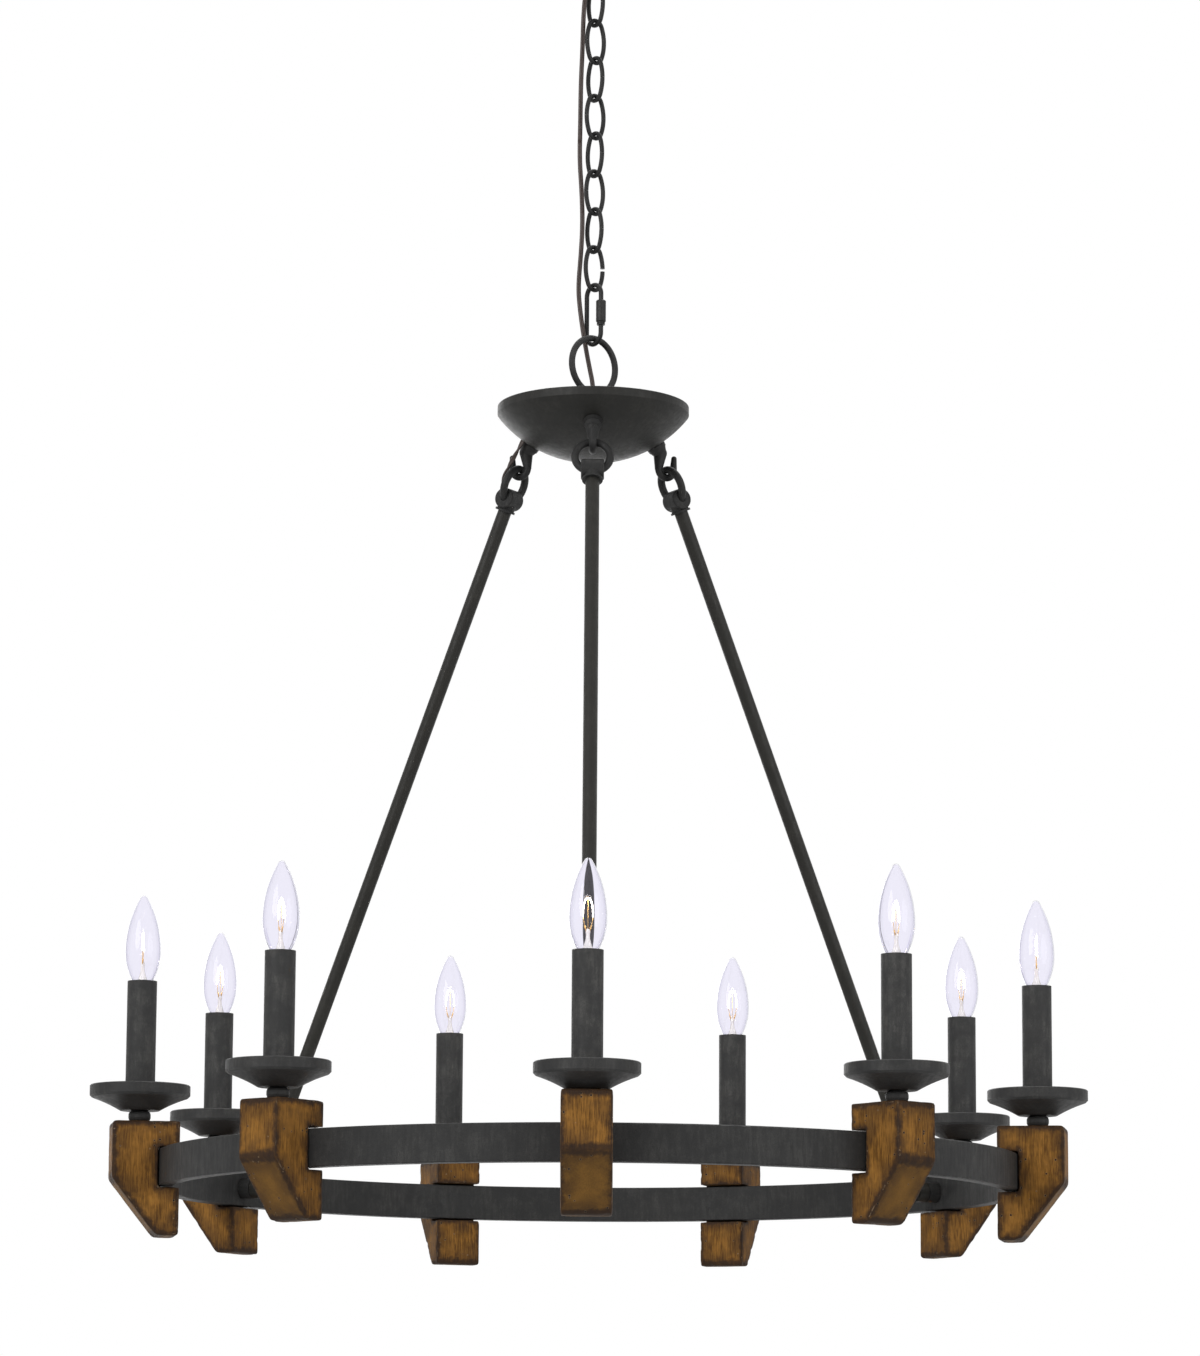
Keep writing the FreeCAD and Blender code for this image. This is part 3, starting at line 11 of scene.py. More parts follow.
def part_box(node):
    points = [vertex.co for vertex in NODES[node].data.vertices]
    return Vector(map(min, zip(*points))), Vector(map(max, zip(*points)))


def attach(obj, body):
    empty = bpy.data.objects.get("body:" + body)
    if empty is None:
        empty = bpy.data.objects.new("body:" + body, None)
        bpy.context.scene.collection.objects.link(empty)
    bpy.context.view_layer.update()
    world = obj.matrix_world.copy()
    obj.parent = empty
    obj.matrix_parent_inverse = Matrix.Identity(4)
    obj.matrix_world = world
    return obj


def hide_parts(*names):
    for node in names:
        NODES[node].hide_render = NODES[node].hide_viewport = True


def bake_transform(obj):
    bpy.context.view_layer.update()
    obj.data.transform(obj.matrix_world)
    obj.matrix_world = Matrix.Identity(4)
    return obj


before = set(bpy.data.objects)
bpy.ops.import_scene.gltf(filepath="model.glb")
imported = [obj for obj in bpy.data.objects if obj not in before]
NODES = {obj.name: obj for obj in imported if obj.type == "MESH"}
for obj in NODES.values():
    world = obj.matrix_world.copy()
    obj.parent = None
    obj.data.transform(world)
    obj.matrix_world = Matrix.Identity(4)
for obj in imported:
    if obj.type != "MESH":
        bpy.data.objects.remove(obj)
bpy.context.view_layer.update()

bl_info = {
    "name": "Wagon Wheel Chandelier",
    "version": (1, 0, 0),
    "blender": (4, 5, 0),
    "location": "3D View > Sidebar > Chandelier",
    "description": "Dresses the nine-light wagon wheel chandelier in painted iron, wood and clear glass",
    "category": "Object",
}

# ---- sizes

BLOCK_COUNT = 9
# The front bulb stands on the candle circle, at its lowest Y.
FRONT_BULB_LOW, FRONT_BULB_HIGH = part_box("bulb_1")
CANDLE_CIRCLE = -(FRONT_BULB_LOW.y + FRONT_BULB_HIGH.y) / 2


class LightSizes(bpy.types.PropertyGroup):
    """Sizes of the pieces that are built here."""

    bulb_height: FloatProperty(name="Bulb height", description="Glass above the sleeve's top",
                               default=0.077, unit="LENGTH")
    bulb_radius: FloatProperty(name="Bulb radius", description="Half the glass's greatest width",
                               default=0.016, unit="LENGTH")
    bulb_widest_at: FloatProperty(name="Widest place", description="Above the sleeve's top", default=0.027,
                                  unit="LENGTH")
    bulb_throat: FloatProperty(name="Bulb throat", description="The glass's radius at the sleeve's top",
                               default=0.009, unit="LENGTH")
    bulb_tip: FloatProperty(name="Bulb tip", description="Radius of the glass's rounded tip",
                            default=0.0035, unit="LENGTH")
    glass_wall: FloatProperty(name="Glass wall", description="Thickness of the bulb's glass",
                              default=0.0009, unit="LENGTH")
    filament_height: FloatProperty(name="Filament height", description="Above the sleeve's top",
                                   default=0.033, unit="LENGTH")
    block_width: FloatProperty(name="Block width", description="Across a wooden block", default=0.043,
                               unit="LENGTH")
    cord_width: FloatProperty(name="Cord width", description="Across the flat supply cord", default=0.0043,
                              unit="LENGTH")


class LightFinishes(bpy.types.PropertyGroup):
    """Colours of the finishes."""

    iron: FloatVectorProperty(name="Black paint", description="Charcoal paint on the iron", subtype="COLOR",
                              default=(0.032, 0.032, 0.032))
    iron_light: FloatVectorProperty(name="Rubbed paint", description="Paler patches of the paint",
                                    subtype="COLOR", default=(0.072, 0.070, 0.066))
    wood: FloatVectorProperty(name="Wood", description="Golden brown stain", subtype="COLOR",
                              default=(0.335, 0.156, 0.031))
    wood_dark: FloatVectorProperty(name="Wood grain", description="Dark lines of the grain",
                                   subtype="COLOR", default=(0.118, 0.052, 0.010))
    burnish: FloatVectorProperty(name="Burnished edge", description="Charcoal stain along the edges",
                                 subtype="COLOR", default=(0.018, 0.012, 0.011))
    rubbed_wood: FloatVectorProperty(name="Rubbed edge", description="Bare wood where an edge is rubbed",
                                     subtype="COLOR", default=(0.46, 0.33, 0.20))
    glass: FloatVectorProperty(name="Glass", description="Tint of the bulbs", subtype="COLOR",
                               default=(0.925, 0.915, 0.975))
    # Painted shade: the glass's colour towards its outline.
    glass_rim_shade: FloatVectorProperty(name="Glass rim", description="Tint of the bulbs towards their outline",
                                   subtype="COLOR", default=(0.640, 0.632, 0.745))
    cord: FloatVectorProperty(name="Cord", description="Brown-black cord cover", subtype="COLOR",
                              default=(0.040, 0.025, 0.020))


class StudioSettings(bpy.types.PropertyGroup):
    """Camera, lamps and floor."""

    camera_distance: FloatProperty(name="Camera distance", description="From the light's axis",
                                   default=4.5563, unit="LENGTH")
    camera_side: FloatProperty(name="Camera side", description="How far the camera stands to the right",
                               default=0.0196, unit="LENGTH")
    camera_height: FloatProperty(name="Camera height", description="Below the ceiling", default=-1.5066,
                                 unit="LENGTH")
    camera_pitch: FloatProperty(name="Camera pitch", description="Upward tilt", default=0.17102,
                                subtype="ANGLE")
    camera_turn: FloatProperty(name="Camera turn", description="To the left of the +Y direction",
                               default=0.00262, subtype="ANGLE")
    camera_roll: FloatProperty(name="Camera roll", description="About the line of sight", default=0.00588,
                               subtype="ANGLE")
    lens: FloatProperty(name="Lens", description="Focal length in millimetres on a 36 mm long side",
                        default=134.08)
    key_power: FloatProperty(name="Key lamp", description="Soft lamp at the front left", default=112.0,
                             unit="POWER")
    fill_power: FloatProperty(name="Fill lamp", description="Soft lamp at the front right", default=62.0,
                              unit="POWER")
    top_power: FloatProperty(name="Top lamp", description="Soft lamp above", default=70.0, unit="POWER")
    surround: FloatProperty(name="Surround", description="Strength of the pale room on the object",
                            default=0.30)
    floor_lift: FloatProperty(name="Floor lift", description="How much paler the floor is seen than lit",
                              default=0.60)
    floor_depth: FloatProperty(name="Floor", description="Below the ceiling", default=-4.6, unit="LENGTH")


class StepError(RuntimeError):
    """Stops the script where a step can't finish."""


# ---- mesh helpers

ON_AXIS = 1e-7  # a smaller radius is a point on the axis


def new_piece(name, verts, faces, material):
    """One object from lists of vertices and faces, with outward normals."""
    mesh = bpy.data.meshes.new(name)
    mesh.from_pydata([tuple(v) for v in verts], [], faces)
    form = bmesh.new()
    form.from_mesh(mesh)
    bmesh.ops.recalc_face_normals(form, faces=form.faces)
    form.to_mesh(mesh)
    form.free()
    mesh.shade_smooth()
    mesh.materials.append(material)
    piece = bpy.data.objects.new(name, mesh)
    bpy.context.scene.collection.objects.link(piece)
    return piece


def lathe(outline, segments, centre):
    """Vertices and faces of a closed outline of (radius, height) turned about the vertical."""
    verts, rings, faces = [], [], []
    for radius, height in outline:
        if radius < ON_AXIS:
            rings.append([len(verts)])
            verts.append((centre[0], centre[1], centre[2] + height))
            continue
        ring = []
        for step in range(segments):
            turn = 2 * math.pi * step / segments
            ring.append(len(verts))
            verts.append((centre[0] + radius * math.cos(turn), centre[1] + radius * math.sin(turn),
                          centre[2] + height))
        rings.append(ring)
    for here, there in zip(rings, rings[1:] + rings[:1]):
        if len(here) == 1 and len(there) == 1:
            continue
        for step in range(segments):
            after = (step + 1) % segments
            a, b = here[step % len(here)], here[after % len(here)]
            c, d = there[after % len(there)], there[step % len(there)]
            faces.append(tuple(dict.fromkeys((a, b, c, d))))
    return verts, faces


def joined(parts):
    """Several (vertices, faces) as one."""
    verts, faces = [], []
    for some_verts, some_faces in parts:
        start = len(verts)
        verts += list(some_verts)
        faces += [tuple(i + start for i in face) for face in some_faces]
    return verts, faces


def sweep(points, section, twist=0.0, start_side=None):
    """A closed section of (side, up) offsets swept along points, capped at both ends.
    It turns by twist radians from end to end."""
    points = [Vector(p) for p in points]
    lines = [(after - before).normalized() for before, after in zip(points, points[1:])]
    tangents = [lines[0]] + [(a + b).normalized() for a, b in zip(lines, lines[1:])] + [lines[-1]]
    side = Vector(start_side) if start_side else tangents[0].orthogonal()
    verts, faces, count = [], [], len(section)
    run, total = 0.0, sum((b - a).length for a, b in zip(points, points[1:]))
    for place, (point, tangent) in enumerate(zip(points, tangents)):
        if place:
            run += (point - points[place - 1]).length
        side = (side - tangent * side.dot(tangent)).normalized()
        up = tangent.cross(side)
        turn = twist * run / total
        for u, v in section:
            across = u * math.cos(turn) - v * math.sin(turn)
            along = u * math.sin(turn) + v * math.cos(turn)
            verts.append(point + side * across + up * along)
    for ring in range(len(points) - 1):
        for step in range(count):
            a, b = ring * count + step, ring * count + (step + 1) % count
            faces.append((a, b, b + count, a + count))
    faces.append(tuple(range(count))[::-1])
    faces.append(tuple(range((len(points) - 1) * count, len(points) * count)))
    return verts, faces


def round_section(radius, sides):
    """Offsets of a round wire's outline."""
    turns = [2 * math.pi * k / sides for k in range(sides)]
    return [(radius * math.cos(turn), radius * math.sin(turn)) for turn in turns]


def arc_points(centre, radius, start, end, steps):
    """Points (radius, height) on an arc, from one angle to another."""
    angles = [start + (end - start) * k / steps for k in range(steps + 1)]
    return [(centre[0] + radius * math.cos(angle), centre[1] + radius * math.sin(angle))
            for angle in angles]


def candle_azimuths():
    """Degrees from the front candle, to the right."""
    return [360.0 / BLOCK_COUNT * place for place in range(BLOCK_COUNT)]


def turned_to(azimuth):
    """Turns what is drawn along +X, outwards, to its azimuth: 0 is the front and 90 the right."""
    return Matrix.Rotation(math.radians(azimuth - 90.0), 4, "Z")


def candle_place(place):
    """Where a candle's axis meets the height of its sleeve's top."""
    sizes = bpy.context.scene.light_sizes
    spot = turned_to(candle_azimuths()[place]) @ Vector((CANDLE_CIRCLE, 0, 0))
    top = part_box("bulb_%d" % (place + 1))[1].z - sizes.bulb_height
    return Vector((spot.x, spot.y, top))


# ---- shader nodes

# Where Blender's Mix node has its sockets for colours.
MIX_FACTOR, MIX_FIRST, MIX_SECOND, MIX_RESULT = 0, 6, 7, 2


def put(tree, kind, inputs=(), **settings):
    """Adds a shader node. Each input is a number, a colour or another node's output."""
    node = tree.nodes.new("ShaderNode" + kind)
    for key, value in settings.items():
        setattr(node, key, value)
    for name, value in dict(inputs).items():
        socket = node.inputs[name]
        if isinstance(value, bpy.types.NodeSocket):
            tree.links.new(value, socket)
        else:
            socket.default_value = value
    return node


def new_finish(name):
    """An empty material with its shader and output."""
    material = bpy.data.materials.new(name)
    material.use_nodes = True
    tree = material.node_tree
    tree.nodes.clear()
    shader = put(tree, "BsdfPrincipled")
    output = put(tree, "OutputMaterial")
    tree.links.new(shader.outputs["BSDF"], output.inputs["Surface"])
    return material, tree, shader


def stretched(tree, scale):
    """Object coordinates, stretched by a scale for each axis."""
    place = put(tree, "TexCoord").outputs["Object"]
    return put(tree, "Mapping", {"Vector": place, "Scale": scale}).outputs["Vector"]


def cloud(tree, vector, scale, detail=2.0, roughness=0.5):
    """Soft noise from 0 to 1, with scale waves a metre."""
    return put(tree, "TexNoise", {"Vector": vector, "Scale": scale, "Detail": detail,
                                  "Roughness": roughness}).outputs["Fac"]


def ramp(tree, value, low, high):
    """0 below low, 1 above high, and a soft step between them."""
    return put(tree, "MapRange", {"Value": value, "From Min": low, "From Max": high},
               interpolation_type="SMOOTHSTEP").outputs["Result"]


def math_node(tree, operation, first, second):
    """An operation on two inputs, each a number or another node's output."""
    node = tree.nodes.new("ShaderNodeMath")
    node.operation = operation
    for socket, value in zip(node.inputs, (first, second)):
        if isinstance(value, bpy.types.NodeSocket):
            tree.links.new(value, socket)
        else:
            socket.default_value = value
    return node.outputs["Value"]


def plus(tree, first, second):
    return math_node(tree, "ADD", first, second)


def minus(tree, first, second):
    return math_node(tree, "SUBTRACT", first, second)


def times(tree, first, second):
    return math_node(tree, "MULTIPLY", first, second)


def blend_colours(tree, factor, first, second):
    """The first colour where the factor is 0, the second where it is 1."""
    node = tree.nodes.new("ShaderNodeMix")
    node.data_type = "RGBA"
    for index, value in ((MIX_FACTOR, factor), (MIX_FIRST, first), (MIX_SECOND, second)):
        socket = node.inputs[index]
        if isinstance(value, bpy.types.NodeSocket):
            tree.links.new(value, socket)
        elif socket.type == "RGBA":
            socket.default_value = (*value, 1.0)
        else:
            socket.default_value = value
    return node.outputs[MIX_RESULT]


def bump(tree, height, strength, distance):
    return put(tree, "Bump", {"Height": height, "Strength": strength,
                              "Distance": distance}).outputs["Normal"]


# ---- finishes

# Black paints: slot, material's name, shares of the paint's dark and light colour, roughness, pitting.
BLACK_PAINTS = (
    ("black_metal", "black_paint", 1.0, 1.0, 0.62, 0.7),
    ("black_iron", "cast_iron_paint", 0.56, 0.60, 0.58, 1.6),
    ("chain_paint", "chain_paint", 0.55, 0.60, 0.50, 0.5),
    ("band_paint", "band_paint", 0.76, 0.80, 0.60, 0.9),
    ("pan_paint", "pan_paint", 0.95, 1.0, 0.55, 0.6),
    ("sleeve_paint", "sleeve_paint", 1.22, 1.50, 0.62, 0.7),
)
# Warmer paints: slot and name, dark and light colour, roughness, pitting.
WARM_PAINTS = (
    ("bowl_paint", (0.0150, 0.0148, 0.0130), (0.032, 0.031, 0.027), 0.52, 0.6),
    ("rod_paint", (0.021, 0.020, 0.017), (0.041, 0.039, 0.033), 0.50, 0.8),
)
# Painted shade inside the worm holes, which are only bumps.
HOLE_SHADE_BLACK = (0.012, 0.008, 0.006)

FINISHES = {}  # materials by the names that the steps give


def painted_iron(name, colour, light, roughness, pitting):
    """Matt charcoal paint: cloudy, faintly brushed downwards, with fine grit and rubbed patches."""
    material, tree, shader = new_finish(name)
    plain = stretched(tree, (1, 1, 1))
    brushed = stretched(tree, (1, 1, 0.16))
    patches = ramp(tree, cloud(tree, plain, scale=48, detail=5, roughness=0.66), low=0.38, high=0.66)
    strokes = ramp(tree, cloud(tree, brushed, scale=300, detail=4, roughness=0.65), low=0.40, high=0.62)
    stroke_share, stroke_gloss = 0.55, 0.10
    shade = times(tree, patches, plus(tree, 1 - stroke_share, times(tree, strokes, stroke_share)))
    base = blend_colours(tree, shade, colour, light)
    grit = cloud(tree, plain, scale=2600, detail=2, roughness=0.7)
    specks = [c * 0.62 for c in colour]
    tree.links.new(blend_colours(tree, ramp(tree, grit, low=0.30, high=0.75), specks, base),
                   shader.inputs["Base Color"])
    tree.links.new(plus(tree, roughness, times(tree, strokes, -stroke_gloss)), shader.inputs["Roughness"])
    shader.inputs["Specular IOR Level"].default_value = 0.22
    pits = cloud(tree, plain, scale=420, detail=3)
    relief = plus(tree, grit, times(tree, pits, pitting))
    tree.links.new(bump(tree, relief, strength=0.32, distance=0.0004), shader.inputs["Normal"])
    return material


def burnished_wood(finishes):
    """Golden brown stained wood with a dark burnished border, worm holes and rubbed edges, and painted
    shade on faces that look down and inside the worm holes.
    The attributes rim and edge give the distance in metres to any edge and to a sharp one."""
    material, tree, shader = new_finish("burnished_wood")
    plain = stretched(tree, (1, 1, 1))
    rim = put(tree, "Attribute", attribute_name="rim").outputs["Fac"]
    edge = put(tree, "Attribute", attribute_name="edge").outputs["Fac"]

    # Grain up the block: fine lines over broad ones, brighter clouds, and dark pores.
    fine_share, glow_share, pore_share = 0.74, 0.45, 0.55
    fine = cloud(tree, stretched(tree, (1, 1, 0.075)), scale=950, detail=5, roughness=0.68)
    broad = cloud(tree, stretched(tree, (1, 1, 0.22)), scale=95, detail=3, roughness=0.55)
    tone = plus(tree, times(tree, fine, fine_share), times(tree, broad, 1 - fine_share))
    grain = ramp(tree, tone, low=0.40, high=0.60)
    wood = blend_colours(tree, grain, finishes.wood_dark, finishes.wood)
    glow = ramp(tree, cloud(tree, plain, scale=42, detail=3, roughness=0.6), low=0.42, high=0.70)
    bright = [c * 1.32 for c in finishes.wood]
    wood = blend_colours(tree, times(tree, glow, glow_share), wood, bright)
    pores = cloud(tree, stretched(tree, (1, 1, 0.05)), scale=2600, detail=2, roughness=0.6)
    pores = ramp(tree, pores, low=0.60, high=0.72)
    wood = blend_colours(tree, times(tree, pores, pore_share), wood, finishes.wood_dark)

    # Painted shade: faces that look down are painted darker and a little green, standing in for the shade
    # under the light from above.
    under_shade_share = 0.85
    normal = put(tree, "NewGeometry").outputs["Normal"]
    height = put(tree, "SeparateXYZ", {"Vector": normal}).outputs["Z"]
    painted_under_shade = minus(tree, 1.0, ramp(tree, height, low=-0.75, high=-0.15))
    olive_shade = [c * share for c, share in zip(finishes.wood, (0.52, 0.58, 0.70))]
    wood = blend_colours(tree, times(tree, painted_under_shade, under_shade_share), wood, olive_shade)

    # Burnishing: a ragged dark border, densest at the very edge, in a smoky one. Lengths in metres.
    ragged_by, inset, border_share, smoke_share = 0.0105, 0.0040, 0.90, 0.62
    ragged = times(tree, cloud(tree, plain, scale=130, detail=4, roughness=0.65), ragged_by)
    reach = minus(tree, plus(tree, rim, inset), ragged)
    border = minus(tree, 1.0, ramp(tree, reach, low=-0.0010, high=0.0070))
    smoke = ramp(tree, cloud(tree, plain, scale=60, detail=3), low=0.28, high=0.62)
    smoke_reach = minus(tree, 1.0, ramp(tree, rim, low=0.001, high=0.0240))
    smoky = times(tree, smoke_reach, times(tree, smoke, smoke_share))
    dark = math_node(tree, "MAXIMUM", times(tree, border, border_share), smoky)
    stained = blend_colours(tree, dark, wood, finishes.burnish)

    # Worm holes in loose groups, each with a pale rim. Radii are shares of a cell. A hole is only a bump,
    # so its inside is painted near-black as painted shade.
    hole_radius, halo_radius, halo_share = 0.21, 0.26, 0.35
    cells = put(tree, "TexVoronoi", {"Vector": plain, "Scale": 230.0})
    lot = put(tree, "SeparateColor", {"Color": cells.outputs["Color"]}).outputs[0]
    lonely = math_node(tree, "GREATER_THAN", lot, 0.66)
    group = math_node(tree, "GREATER_THAN", cloud(tree, plain, scale=38, detail=2), 0.52)
    chosen = times(tree, lonely, group)
    distance = cells.outputs["Distance"]
    hole = times(tree, chosen, math_node(tree, "LESS_THAN", distance, hole_radius))
    halo = times(tree, chosen, math_node(tree, "LESS_THAN", distance, halo_radius))
    ringed = blend_colours(tree, times(tree, halo, halo_share), stained, finishes.rubbed_wood)
    hole_shaded = blend_colours(tree, hole, ringed, HOLE_SHADE_BLACK)

    # The outermost edge is rubbed through here and there, in short strokes.
    rubbed_width, rubbed_share = 0.00075, 0.42
    outermost = math_node(tree, "LESS_THAN", edge, rubbed_width)
    strokes = cloud(tree, stretched(tree, (1, 1, 0.5)), scale=340, detail=4, roughness=0.7)
    strokes = ramp(tree, strokes, low=0.47, high=0.66)
    places = ramp(tree, cloud(tree, plain, scale=48, detail=2), low=0.50, high=0.66)
    rubbed = times(tree, times(tree, outermost, times(tree, strokes, places)), rubbed_share)
    tree.links.new(blend_colours(tree, rubbed, hole_shaded, finishes.rubbed_wood), shader.inputs["Base Color"])

    smoothest, grain_roughness = 0.52, 0.26
    tree.links.new(plus(tree, smoothest, times(tree, fine, grain_roughness)), shader.inputs["Roughness"])
    shader.inputs["Specular IOR Level"].default_value = 0.12
    grain_relief, hole_relief, pore_relief = 0.5, 2.0, 0.3
    relief = minus(tree, times(tree, fine, grain_relief), times(tree, hole, hole_relief))
    relief = minus(tree, relief, times(tree, pores, pore_relief))
    tree.links.new(bump(tree, relief, strength=0.45, distance=0.0004), shader.inputs["Normal"])
    return material


def clear_glass(name, tint, rim_shade_tint, clearness=1.0, roughness=0.0):
    """Thin lamp glass; its colour is painted greyer and a little bluer towards its outline, with a painted
    dark line there: painted shade of the grazing glass.
    """
    material, tree, shader = new_finish(name)
    facing = put(tree, "LayerWeight", {"Blend": 0.5}).outputs["Facing"]
    flow = cloud(tree, stretched(tree, (1, 1, 0.3)), scale=90, detail=2)
    painted_rim_shade = ramp(tree, plus(tree, facing, times(tree, flow, 0.04)), low=0.25, high=0.95)
    rim_shaded = blend_colours(tree, painted_rim_shade, tint, rim_shade_tint)
    # Painted shade: a dark line along the glass's outline.
    line = [c * 0.30 for c in rim_shade_tint]
    tree.links.new(blend_colours(tree, ramp(tree, facing, low=0.66, high=0.96), rim_shaded, line),
                   shader.inputs["Base Color"])
    shader.inputs["Transmission Weight"].default_value = clearness
    shader.inputs["Roughness"].default_value = roughness
    shader.inputs["IOR"].default_value = 1.30
    shader.inputs["Specular IOR Level"].default_value = 0.35
    shader.inputs["Specular Tint"].default_value = (0.80, 0.80, 0.86, 1.0)
    return material


def bare_metal(name, colour, roughness):
    """Plated or plain metal with faint handling marks."""
    material, tree, shader = new_finish(name)
    marks = cloud(tree, stretched(tree, (1, 1, 1)), scale=700, detail=4, roughness=0.6)
    dull = [c * 0.72 for c in colour]
    tree.links.new(blend_colours(tree, ramp(tree, marks, low=0.35, high=0.7), dull, colour),
                   shader.inputs["Base Color"])
    tree.links.new(plus(tree, roughness, times(tree, marks, 0.2)), shader.inputs["Roughness"])
    shader.inputs["Metallic"].default_value = 1.0
    return material


def moulded_plastic(name, colour, roughness):
    """Plain moulded plastic with a fine skin."""
    material, tree, shader = new_finish(name)
    skin = cloud(tree, stretched(tree, (1, 1, 1)), scale=900, detail=3)
    dark, pale = [c * 0.8 for c in colour], [min(1.0, c * 1.15) for c in colour]
    tree.links.new(blend_colours(tree, skin, dark, pale), shader.inputs["Base Color"])
    tree.links.new(plus(tree, roughness, times(tree, skin, 0.15)), shader.inputs["Roughness"])
    tree.links.new(bump(tree, skin, strength=0.15, distance=0.0002), shader.inputs["Normal"])
    return material


def glowing_wire():
    """The lit filament, a little uneven along its coil."""
    material, tree, shader = new_finish("lit_filament")
    shader.inputs["Base Color"].default_value = (1.0, 0.86, 0.62, 1.0)
    shader.inputs["Emission Color"].default_value = (1.0, 0.93, 0.80, 1.0)
    least_glow, uneven_glow = 22.0, 16.0
    uneven = cloud(tree, stretched(tree, (1, 1, 1)), scale=800, detail=2)
    tree.links.new(plus(tree, least_glow, times(tree, uneven, uneven_glow)),
                   shader.inputs["Emission Strength"])
    return material


def make_finishes():
    """Fills FINISHES from the panel's colours."""
    finishes = bpy.context.scene.light_finishes
    for slot, name, dark_share, light_share, roughness, pitting in BLACK_PAINTS:
        dark = [c * dark_share for c in finishes.iron]
        light = [c * light_share for c in finishes.iron_light]
        FINISHES[slot] = painted_iron(name, dark, light, roughness, pitting)
    for name, dark, light, roughness, pitting in WARM_PAINTS:
        FINISHES[name] = painted_iron(name, dark, light, roughness, pitting)
    FINISHES["wood"] = burnished_wood(finishes)
    FINISHES["bulb_glass"] = clear_glass("lamp_glass", finishes.glass, finishes.glass_rim_shade)
    # The second colour is painted shade towards the stem glass's outline.
    FINISHES["stem_glass"] = clear_glass("stem_glass", (0.93, 0.91, 0.86), (0.80, 0.77, 0.72),
                                         clearness=0.35, roughness=0.1)
    FINISHES["steel"] = bare_metal("zinc_plate", (0.55, 0.54, 0.51), roughness=0.38)
    FINISHES["brass"] = bare_metal("brass", (0.62, 0.44, 0.17), roughness=0.30)
    FINISHES["copper"] = bare_metal("copper_wire", (0.88, 0.55, 0.20), roughness=0.28)
    FINISHES["connector_plastic"] = moulded_plastic("orange_plastic", (0.55, 0.22, 0.02), roughness=0.42)
    FINISHES["cord_cover"] = moulded_plastic("cord_cover", finishes.cord, roughness=0.40)
    FINISHES["socket_plastic"] = moulded_plastic("phenolic", (0.022, 0.019, 0.017), roughness=0.45)
    FINISHES["filament"] = glowing_wire()


# ---- what the steps share


def dress(piece, body, slot, *nodes):
    """Rides the piece on its body and hides the nodes that it stands for. The slot is not used."""
    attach(piece, body)
    if nodes:
        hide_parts(*nodes)


def coat(finish_name, *nodes):
    """Gives CAD nodes their finish, in place of the one that they were loaded with."""
    for name in nodes:
        node = NODES[name]
        while len(node.data.materials):
            node.data.materials.pop()
        node.data.materials.append(FINISHES[finish_name])


class LightStep(bpy.types.Operator):
    """What every step here shares."""

    bl_options = {"REGISTER", "UNDO"}


# ---- the studio

# Soft lamps: name, place and width in metres, the setting that gives their power, and their share of it.
LAMPS = (
    ("key_lamp", (-2.6, -3.4, 0.6), 2.6, "key_power", 1.0),
    ("fill_lamp", (3.2, -2.8, -0.4), 2.8, "fill_power", 1.0),
    ("top_lamp", (0.2, 0.9, 2.6), 3.0, "top_power", 1.0),
    ("back_lamp", (-0.8, 3.6, -0.4), 2.6, "fill_power", 0.6),
)
LAMPS_AIM = Vector((0, 0, -1.0))
SENSOR_WIDTH = 36
CLIP_NEAR, CLIP_FAR = 0.05, 200
FLOOR_RADIUS, FLOOR_SIDES = 30.0, 48
FLOOR_GREYS = (0.80, 0.80, 0.80), (0.84, 0.84, 0.84)


